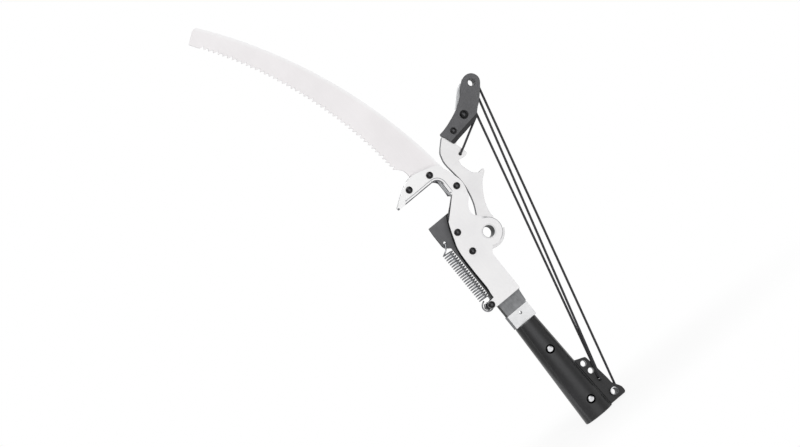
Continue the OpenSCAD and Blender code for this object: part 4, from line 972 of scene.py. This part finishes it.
@dataclass
class RopeRigging:
    """The rope: three straight strands, its turns round the rollers and the bush, and two stopper knots."""

    wardrobe: Wardrobe
    radius: float = 1.5
    strand_radius: float = 1.6
    carriers: int = 7
    lay: float = 8.5
    braid_depth: float = 0.05
    sides: int = 28
    ring_step: float = 0.62
    lead: float = 0.6
    wrap_step: float = 0.09
    bend_steps: int = 6
    lug_bend: float = 2.1
    slot_bend: float = 2.3
    lug_entry: float = 0.1
    lug_gap: float = 0.15
    slot_run: float = 9.0
    slot_exit: float = 0.9
    lug_run: tuple[Pair, ...] = ((9.0, -5.6), (36.0, -0.4))
    knot_turns: float = 2.4
    knot_steps: int = 60
    knot_entry: float = 0.2
    knot_seat: float = 0.25
    knot_gap: float = 0.1
    knot_wind: float = 1.93
    knot_start: float = 0.5
    knot_bend: tuple[Triple, ...] = ((0, -1.2, 0), (0.9, 1.2, 0), (2.4, 1.7, 0.6))
    knot_tail: Triple = (-1.6, 0.5, 2.2)
    plane: float = 1.75
    lever_half: float = 3.5
    wing_half: float = 4.0
    pivot: Pair = (36.8, 277.5)
    axle: Pair = (108.2, 164.3)
    axle_r: float = 9.0
    middle: Pair = (98.2, 143.0)
    middle_r: float = 5.8
    corner: Pair = (83.2, 129.5)
    corner_r: float = 5.0
    lug: Pair = (36.9, 101.4)
    bush: Pair = (34.1, 11.5)
    bush_r: float = 7.45
    slot_low: Pair = (29.052, 34.524)
    slot_high: Pair = (29.748, 39.476)
    behind_wing: float = 5.75
    strand_a_y: float = -5.75
    strand_b_y: float = -9.0
    kept_lengths: Triple = (0.2917, 0.2982, 0.2881)

    def on_block(self, place: Pair) -> Pair:
        """Turns a place measured from the lever's pivot to the row frame."""
        return place[0] + self.pivot[0], place[1] + self.pivot[1]

    @staticmethod
    def tangent(a: Pair, ra: float, side_a: int, b: Pair, rb: float, side_b: int) -> tuple[Pair, Pair]:
        """Gives the straight line that touches two circles. A side of 1 has its circle on the line's left.

        Args:
            a: the first circle's centre.
            ra: its radius.
            side_a: its side.
            b: the second circle's centre.
            rb: its radius.
            side_b: its side.

        Returns:
            The line's two ends.
        """
        dx, dz = b[0] - a[0], b[1] - a[1]
        heading = math.atan2(dz, dx) + math.asin(-(side_b * rb - side_a * ra) / math.hypot(dx, dz))
        nx, nz = -math.sin(heading), math.cos(heading)
        return ((a[0] - side_a * ra * nx, a[1] - side_a * ra * nz),
                (b[0] - side_b * rb * nx, b[1] - side_b * rb * nz))

    @staticmethod
    def angle(at: Pair, p: Pair) -> float:
        """Gives the angle of p seen from at."""
        return math.atan2(p[1] - at[1], p[0] - at[0])

    def wrap(self, at: Pair, r: float, start: Pair, end: Pair, way: int, y: float) -> list[Vector]:
        """Gives a turn round a circle between two lines.

        Args:
            at: the circle's centre.
            r: its radius.
            start: where the rope meets it.
            end: where the rope leaves it.
            way: 1 for anticlockwise, -1 for clockwise.
            y: the depth.

        Returns:
            The centre line in millimetres, with a short straight lead at both ends.
        """
        a, b = self.angle(at, start), self.angle(at, end)
        turn = (b - a) % (2 * math.pi) if way > 0 else -((a - b) % (2 * math.pi))
        line = [(start[0] + way * self.lead * math.sin(a), start[1] - way * self.lead * math.cos(a))]
        line += arc(at, r, a, turn, max(2, math.ceil(abs(turn) / self.wrap_step)))
        line.append((end[0] - way * self.lead * math.sin(b), end[1] + way * self.lead * math.cos(b)))
        return [spot(p, y) for p in line]

    def braid(self, angle: float, run: float, radius: float) -> float:
        """Gives the rope's radius at an angle and a length: two sets of yarns cross over and under.

        Args:
            angle: radians round the rope.
            run: metres along it.
            radius: the rope's radius over its yarns, in millimetres.

        Returns:
            The radius in metres.
        """
        twist = 2 * math.pi * run / (self.lay * MM)
        right = math.cos(self.carriers * angle + self.carriers * twist / 2)
        left = math.cos(self.carriers * angle - self.carriers * twist / 2)
        return radius * MM * (1 - self.braid_depth + self.braid_depth * max(right, left))

    def lay_rope(self, name: str, path: Sequence[Vector], body: str, node: str, radius: float = 0.0,
                 round_ends: bool = False) -> bpy.types.Object:
        """Makes one braided piece of the rope in place of its CAD node.

        Args:
            name: the piece's name.
            path: its centre line in millimetres.
            body: the body that it rides on.
            node: the CAD node that it replaces.
            radius: its radius where it isn't wound tight, or 0 where it is.
            round_ends: whether its ends are melted round.

        Returns:
            The rope piece.
        """
        full = radius or self.radius
        line = resample([p * MM for p in path], self.ring_step * MM)
        points, faces, radii = sweep(line, lambda angle, run: self.braid(angle, run, full), self.sides, round_ends)
        item = new_piece(name, points, faces, body)
        low = full * MM * (1 - 2 * self.braid_depth)
        height = item.data.attributes.new("braid_height", "FLOAT", "POINT")
        span = 2 * self.braid_depth * full * MM
        height.data.foreach_set("value", [min(1.0, max(0.0, (r - low) / span)) for r in radii])
        self.wardrobe.dress(item, ROPE)
        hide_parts(node)
        LOG.info("%s: %d points", name, len(points))
        return item

    def strand(self, letter: str, ends: tuple[Pair, Pair], low_y: float, high_y: float) -> None:
        """Makes a straight strand that rides on its own body.

        Args:
            letter: the strand's letter, which its body and its node are named after.
            ends: its lower and upper end as (x, z).
            low_y: the lower end's depth.
            high_y: the upper end's depth.
        """
        name, joint = f"strand_{letter}", f"strand_{letter}_swing"
        start, end = spot(ends[0], low_y), spot(ends[1], high_y)
        item = self.lay_rope(f"braided_{name}", [start, end], name, f"rope_{name}", self.strand_radius)
        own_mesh(item)

    def knot(self, name: str, place: Pair, front: float, back: float, body: str, node: str) -> None:
        """Makes a barrel knot: the rope passes through, turns back and is wound round itself.

        Args:
            name: the knot's name.
            place: the hole's middle as (x, z).
            front: the depth where the rope comes in.
            back: the depth of the face that the knot rests on.
            body: the body that it rides on.
            node: the CAD node that it replaces.
        """
        wind = self.knot_wind * self.radius
        first, pitch = back + self.radius + self.knot_seat, 2 * self.radius + self.knot_gap
        far = first + self.knot_turns * pitch
        line = [spot(place, y) for y in (front, back, first)]
        line += [spot(place, far) + Vector(bend) for bend in self.knot_bend]
        for i in range(self.knot_steps + 1):
            wound = self.knot_turns * i / self.knot_steps
            turn = 2 * math.pi * wound + self.knot_start
            line.append(Vector((place[0] + wind * math.cos(turn), far - pitch * wound,
                                place[1] + wind * math.sin(turn))))
        line.append(line[-1] + Vector(self.knot_tail))
        self.lay_rope(name, line, body, node, round_ends=True)

    def build(self) -> None:
        """Makes every piece of the rope."""
        axle, middle = self.on_block(self.axle), self.on_block(self.middle)
        corner, lug = self.on_block(self.corner), self.on_block(self.lug)
        line_a = self.tangent(self.slot_high, 0, 1, middle, self.middle_r, -1)
        line_b = self.tangent(self.slot_low, 0, 1, middle, self.middle_r, 1)
        line_c = self.tangent(self.bush, self.bush_r, 1, axle, self.axle_r, 1)
        short = self.tangent(lug, 0, 1, corner, self.corner_r, 1)
        up = self.tangent(corner, self.corner_r, 1, axle, self.axle_r, -1)
        back = self.tangent(self.bush, self.bush_r, -1, self.slot_low, 0, 1)
        self.strand("a", line_a, self.strand_a_y, -self.plane)
        self.strand("b", line_b, self.strand_b_y, -self.plane)
        self.strand("c", line_c, self.behind_wing, self.plane)
        self.lay_rope("braided_middle_turn", self.wrap(middle, self.middle_r, line_b[1], line_a[1], 1, -self.plane),
                      "lever_arm", "rope_middle_run")
        self.lay_rope("braided_top_turn", self.top_run(lug, short, corner, up, axle, line_c[1]), "lever_arm",
                      "rope_top_run")
        self.lay_rope("braided_wing_turn", self.wing_run(line_c[0], back), "head", "rope_wing_run")
        self.knot("lug_barrel_knot", lug, self.knot_entry - self.lever_half, self.lever_half, "lever_arm",
                  "lug_knot")
        self.knot("wing_barrel_knot", self.slot_high, self.strand_a_y + self.knot_entry, self.wing_half, "head",
                  "end_knot")

    def top_run(self, lug: Pair, short: tuple[Pair, Pair], corner: Pair, up: tuple[Pair, Pair], axle: Pair,
                leave: Pair) -> list[Vector]:
        """Gives the rope from the lever's lug under the corner pin and over the top roller.

        Args:
            lug: the lug's hole.
            short: the line from the lug to the corner pin.
            corner: the corner pin's middle.
            up: the line from the pin to the top roller.
            axle: the top roller's middle.
            leave: where the rope leaves the roller.

        Returns:
            The centre line in millimetres.
        """
        heading = (spot(short[1]) - spot(short[0])).normalized()
        bend = self.lug_bend
        line = [spot(lug, self.lug_entry - self.lever_half)]
        for i in range(self.bend_steps + 1):
            t = math.pi / 2 * i / self.bend_steps
            y = -self.lever_half - self.lug_gap - bend * math.sin(t)
            line.append(spot(lug, y) + heading * bend * (1 - math.cos(t)))
        line += [spot(lug, y) + heading * along for along, y in self.lug_run]
        line += self.wrap(corner, self.corner_r, short[1], up[0], 1, self.plane)
        line += self.wrap(axle, self.axle_r, up[1], leave, -1, self.plane)
        return line

    def wing_run(self, start: Pair, back: tuple[Pair, Pair]) -> list[Vector]:
        """Gives the rope round the bush behind the wing, up, and forward through the slot.

        Args:
            start: where strand C meets the bush.
            back: the line from the bush to the slot.

        Returns:
            The centre line in millimetres.
        """
        y, bend = self.behind_wing, self.slot_bend
        top = spot(self.slot_low)
        heading = (top - spot(back[0])).normalized()
        line = self.wrap(self.bush, self.bush_r, start, back[0], -1, y)
        line.append(spot(self.slot_low, y) - heading * self.slot_run)
        for i in range(self.bend_steps + 1):
            t = math.pi / 2 * i / self.bend_steps
            line.append(spot(self.slot_low, y - bend * (1 - math.cos(t))) - heading * bend * (1 - math.sin(t)))
        return line + [top, spot(self.slot_low, self.strand_b_y + self.slot_exit)]


@dataclass
class ReturnSpring:
    """The extension spring between the plates' ear and the cutting blade, in round wire."""

    wardrobe: Wardrobe
    head_z: float = 155.0
    wire_d: float = 1.9
    coil_r: float = 6.6
    turns: float = 21.5
    x: float = -22.9
    foot_z: float = 57.5
    top_z: float = 134.5
    loop_r: float = 7.4
    loop: Pair = (-24.9, 47.9)
    hole: Pair = (-17.1, 146.9)
    loop_turn: range = range(-250, 11, 8)
    tail: float = 2.4
    neck: tuple[Triple, ...] = ((-17.3, -0.9, 52.4), (-17.0, -1.7, 55.4))
    hook: tuple[Triple, ...] = ((-28.6, -3.4, 135.6), (-26, -5.3, 137.2), (-22.6, -5, 139.6), (-19.4, -4.2, 143.4))
    hook_end: tuple[Pair, ...] = ((-3.1, -1.3), (-1.2, -1.0), (1.4, -1.0), (3.9, -1.0))
    steps: int = 26
    sides: int = 12

    def curve(self, points: Sequence[Triple], steps: int = 6) -> list[Vector]:
        """Gives a smooth curve through every point.

        Args:
            points: the points that it passes.
            steps: steps between two of them.

        Returns:
            The curve's points.
        """
        p = [Vector(q) for q in points]
        n = len(p) - 1
        line = []
        for i in range(n):
            a, b, c, d = p[max(i - 1, 0)], p[i], p[i + 1], p[min(i + 2, n)]
            for k in range(steps):
                t = k / steps
                line.append(0.5 * (2 * b + (c - a) * t + (2 * a - 5 * b + 4 * c - d) * t * t
                                   + (3 * b - a - 3 * c + d) * t ** 3))
        return line + [p[n]]

    def path(self) -> list[Vector]:
        """Gives the wire's centre line, from the lower loop to the blade's hole.

        Returns:
            Its points in millimetres.
        """
        loop = [Vector((self.loop[0] + self.loop_r * math.cos(math.radians(a)), 0,
                        self.loop[1] + self.loop_r * math.sin(math.radians(a)))) for a in self.loop_turn]
        start = [loop[0] + (loop[0] - loop[1]).normalized() * self.tail]
        neck = self.curve([tuple(loop[-1]), *self.neck, (self.x + self.coil_r, 0, self.foot_z)])
        count = round(self.turns * self.steps)
        coil = []
        for i in range(count + 1):
            a = 2 * math.pi * i / self.steps
            z = self.foot_z + (self.top_z - self.foot_z) * i / count
            coil.append(Vector((self.x + self.coil_r * math.cos(a), self.coil_r * math.sin(a), z)))
        end = [(self.hole[0], y, self.hole[1] + z) for y, z in self.hook_end]
        hook = self.curve([tuple(coil[-1]), *self.hook, *end])
        line = start + loop + neck[1:-1] + coil + hook[1:]
        return [p + Vector((0, 0, self.head_z)) for p in line]

    def build(self) -> None:
        """Makes the spring between the head and the blade."""
        line = [p * MM for p in self.path()]
        points, faces, _ = sweep(line, lambda angle, run: self.wire_d / 2 * MM, self.sides)
        item = new_piece("round_wire_spring", points, faces, "")
        self.wardrobe.dress(item, SPRING_WIRE)
        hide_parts("return_spring")
        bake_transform(item)
        LOG.info("round_wire_spring: %d points", len(points))


@dataclass(frozen=True)
class SubAssembly:
    """A sub-assembly whose CAD forms are complete, so that it only needs its finishes."""

    name: str
    finishes: tuple[tuple[Finish, tuple[str, ...]], ...]

    def build(self, wardrobe: Wardrobe) -> None:
        """Dresses the sub-assembly's nodes.

        Args:
            wardrobe: keeps the materials.
        """
        for finish, nodes in self.finishes:
            for node in nodes:
                wardrobe.dress(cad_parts[node], finish)
                LOG.info("%s, %s: %s", self.name, node, finish.name)


POLE_SOCKET = SubAssembly("pole socket", (
    (NYLON, ("pole_socket",)),
    (BUSH_ZINC, ("line_bush",)),
    (SCREW_ZINC, ("pole_screw", "tang_screw")),
))
HEAD = SubAssembly("head", (
    (MILL_BAR, ("tang",)),
    (SAWN_BAR, ("front_spacer", "rear_spacer")),
    (FERRULE_ZINC, ("ferrule",)),
    (ZINC, ("guide_washers", "pivot_washers")),
    (DIMPLE, ("ferrule_rivet",)),
    (ZINC_TUBE, ("pivot_sleeve",)),
    (HOOK_PLATE, ("front_plate",)),
    (PLATE, ("rear_plate",)),
    (RING_STEEL, ("pivot_ring",)),
    (SAW_STEEL, ("saw_blade",)),
    (BLADE_COAT, ("cutting_blade",)),
    (BRONZE, ("guide_sleeves",)),
    (BLACK_OXIDE, ("hook_bolts", "guide_bolts", "spring_bolt")),
))
LEVER_ARM = SubAssembly("lever arm", (
    (LEVER_PLATE, ("lever",)),
    (CASTING, ("front_cheek", "rear_cheek", "top_axle")),
    (BLOCK_OXIDE, ("block_bolt", "block_screw")),
    (ZINC_SHEET, ("rope_guard",)),
    (ZINC, ("top_roller", "middle_roller")),
    (MILL_BAR, ("top_collar", "middle_pin", "corner_pin")),
))


@dataclass(frozen=True)
class Softbox:
    """A soft box: where it stands and its width in metres, its power in watts, and whether metal mirrors it."""

    name: str
    place: Triple
    size: float
    power: float
    mirrored: bool = True


SOFTBOXES = (
    Softbox("key_softbox", (-0.2, -1.7, 2.6), 0.9, 30),
    Softbox("fill_softbox", (2.0, -1.6, 0.9), 1.2, 8, mirrored=False),
    Softbox("back_softbox", (0.6, 2.2, 1.9), 1.4, 15),
)


@dataclass
class Studio:
    """The camera at the photograph's angle, the pale floor and the soft light.

    The floor's half width and the reach of the shadow on it are metres. The cards' fields are parts of
    the direction that a reflection looks in.
    """

    azimuth: float = -13.5
    elevation: float = 3.0
    lean: float = 38.96
    mm_per_pixel: float = 1.3025
    target: Triple = (-47.15, 0.0, 358.85)
    lens: float = 300.0
    clip: Pair = (0.1, 100.0)
    width_px: int = 800
    background: str = "FFFFFF"
    lit_middle: Triple = (-20.0, 0.0, 360.0)
    room_light: float = 0.4
    card_shift: float = 0.08
    card_edge: Pair = (0.32, 0.66)
    card_light: float = 0.06
    floor_colour: str = "F4F4F4"
    floor_roughness: float = 0.9
    floor_size: float = 30.0
    floor_z: float = -0.6
    shadow_reach: Pair = (0.04, 0.5)
    shadow_floor: float = 0.86

    def camera(self) -> None:
        """Makes the camera: a long lens, turned so that the pole leans left as in the photograph."""
        a, e, lean = (math.radians(v) for v in (self.azimuth, self.elevation, self.lean))
        back = Vector((math.sin(a) * math.cos(e), -math.cos(a) * math.cos(e), math.sin(e)))
        right = Vector((math.cos(a), math.sin(a), 0))
        up = back.cross(right)
        across = right * math.cos(lean) - up * math.sin(lean)
        above = right * math.sin(lean) + up * math.cos(lean)
        data = bpy.data.cameras.new("long_lens")
        data.lens = self.lens
        distance = self.mm_per_pixel * self.width_px * MM * self.lens / data.sensor_width
        item = new_object("camera", data)
        turn = Matrix((across, above, back)).transposed().to_4x4()
        item.matrix_world = Matrix.Translation(Vector(self.target) * MM + back * distance) @ turn
        data.clip_start, data.clip_end = self.clip
        bpy.context.scene.camera = item
        LOG.info("camera: %.2f m away", distance)

    @staticmethod
    def seen_by(tree: Tree, *kinds: str) -> Socket:
        """Gives 1 for a ray of any of the given kinds, such as "Camera"."""
        path = add_node(tree, "ShaderNodeLightPath")
        return largest(tree, *(path.outputs[f"Is {kind} Ray"] for kind in kinds))

    def floor(self) -> None:
        """Makes the pale floor just under the socket's mouth. Away from the foot it is seen as plain white."""
        size, z = self.floor_size, self.floor_z * MM
        points = [Vector((x, y, z)) for x, y in ((-size, -size), (size, -size), (size, size), (-size, size))]
        mesh = bpy.data.meshes.new("floor")
        mesh.from_pydata([tuple(p) for p in points], [], [(0, 1, 2, 3)])
        item = new_object("floor", mesh)
        material = bpy.data.materials.new("white_studio_card")
        material.use_nodes = True
        tree = material.node_tree
        shader = tree.nodes["Principled BSDF"]
        shader.inputs["Base Color"].default_value = linear(self.floor_colour)
        shader.inputs["Roughness"].default_value = self.floor_roughness
        seen = self.seen_by(tree, "Camera", "Glossy", "Transmission")
        coords = add_node(tree, "ShaderNodeTexCoord")
        away = vector_math(tree, "LENGTH", coords.outputs["Object"]).outputs["Value"]
        white = ramp(tree, away, *self.shadow_reach, low=self.shadow_floor, interpolation_type="SMOOTHERSTEP")
        glow = add_node(tree, "ShaderNodeEmission", {"Color": linear(self.background), "Strength": 1.0})
        lit = product(tree, seen, white)
        mix = add_node(tree, "ShaderNodeMixShader", {0: lit, 1: shader.outputs[0], 2: glow.outputs[0]})
        tree.links.new(mix.outputs[0], tree.nodes["Material Output"].inputs["Surface"])
        mesh.materials.append(material)

    def world(self) -> None:
        """Makes the light from all round: white in front, behind and above, and dimmer at the two sides,
        where dark cards stand beside a shiny object so that its edges show."""
        world = bpy.data.worlds.new("studio")
        bpy.context.scene.world = world
        world.use_nodes = True
        tree = world.node_tree
        plain = tree.nodes["Background"]
        plain.inputs["Color"].default_value = linear("FFFFFF")
        plain.inputs["Strength"].default_value = self.room_light
        coords = add_node(tree, "ShaderNodeTexCoord")
        across = split(tree, coords.outputs["Generated"])["X"]
        side = calc(tree, "ABSOLUTE", calc(tree, "ADD", across, self.card_shift))
        card = ramp(tree, side, *self.card_edge, low=1.0, high=self.card_light, interpolation_type="SMOOTHSTEP")
        mirrored = add_node(tree, "ShaderNodeBackground", {"Color": linear(self.background), "Strength": card})
        white = add_node(tree, "ShaderNodeBackground", {"Color": linear(self.background), "Strength": 1.0})
        glossy, seen = self.seen_by(tree, "Glossy"), self.seen_by(tree, "Camera", "Transmission")
        shiny = add_node(tree, "ShaderNodeMixShader", {0: glossy, 1: plain.outputs[0], 2: mirrored.outputs[0]})
        mix = add_node(tree, "ShaderNodeMixShader", {0: seen, 1: shiny.outputs[0], 2: white.outputs[0]})
        tree.links.new(mix.outputs[0], tree.nodes["World Output"].inputs["Surface"])

    def lamp(self, box: Softbox) -> None:
        """Makes one soft box that looks at the object's middle.

        Args:
            box: its place, size and power.
        """
        data = bpy.data.lights.new(box.name, "AREA")
        data.shape, data.size, data.energy = "SQUARE", box.size, box.power
        item = new_object(box.name, data)
        item.location = box.place
        item.visible_glossy = box.mirrored
        item.rotation_mode = "QUATERNION"
        item.rotation_quaternion = (Vector(box.place) - Vector(self.lit_middle) * MM).to_track_quat("Z", "Y")

    def build(self) -> None:
        """Makes the whole studio."""
        self.camera()
        self.world()
        self.floor()
        for box in SOFTBOXES:
            self.lamp(box)
        bpy.context.scene.view_settings.view_transform = "Standard"


def main() -> None:
    """Builds the studio and each sub-assembly in order."""
    logging.basicConfig(level=logging.INFO, format="%(name)s %(message)s")
    wardrobe = Wardrobe()
    Studio().build()
    RopeRigging(wardrobe).build()
    ReturnSpring(wardrobe).build()
    ChamferedNuts(wardrobe, NUT_SETS).build()
    for sub_assembly in (POLE_SOCKET, HEAD, LEVER_ARM):
        sub_assembly.build(wardrobe)


if __name__ == "__main__":
    main()
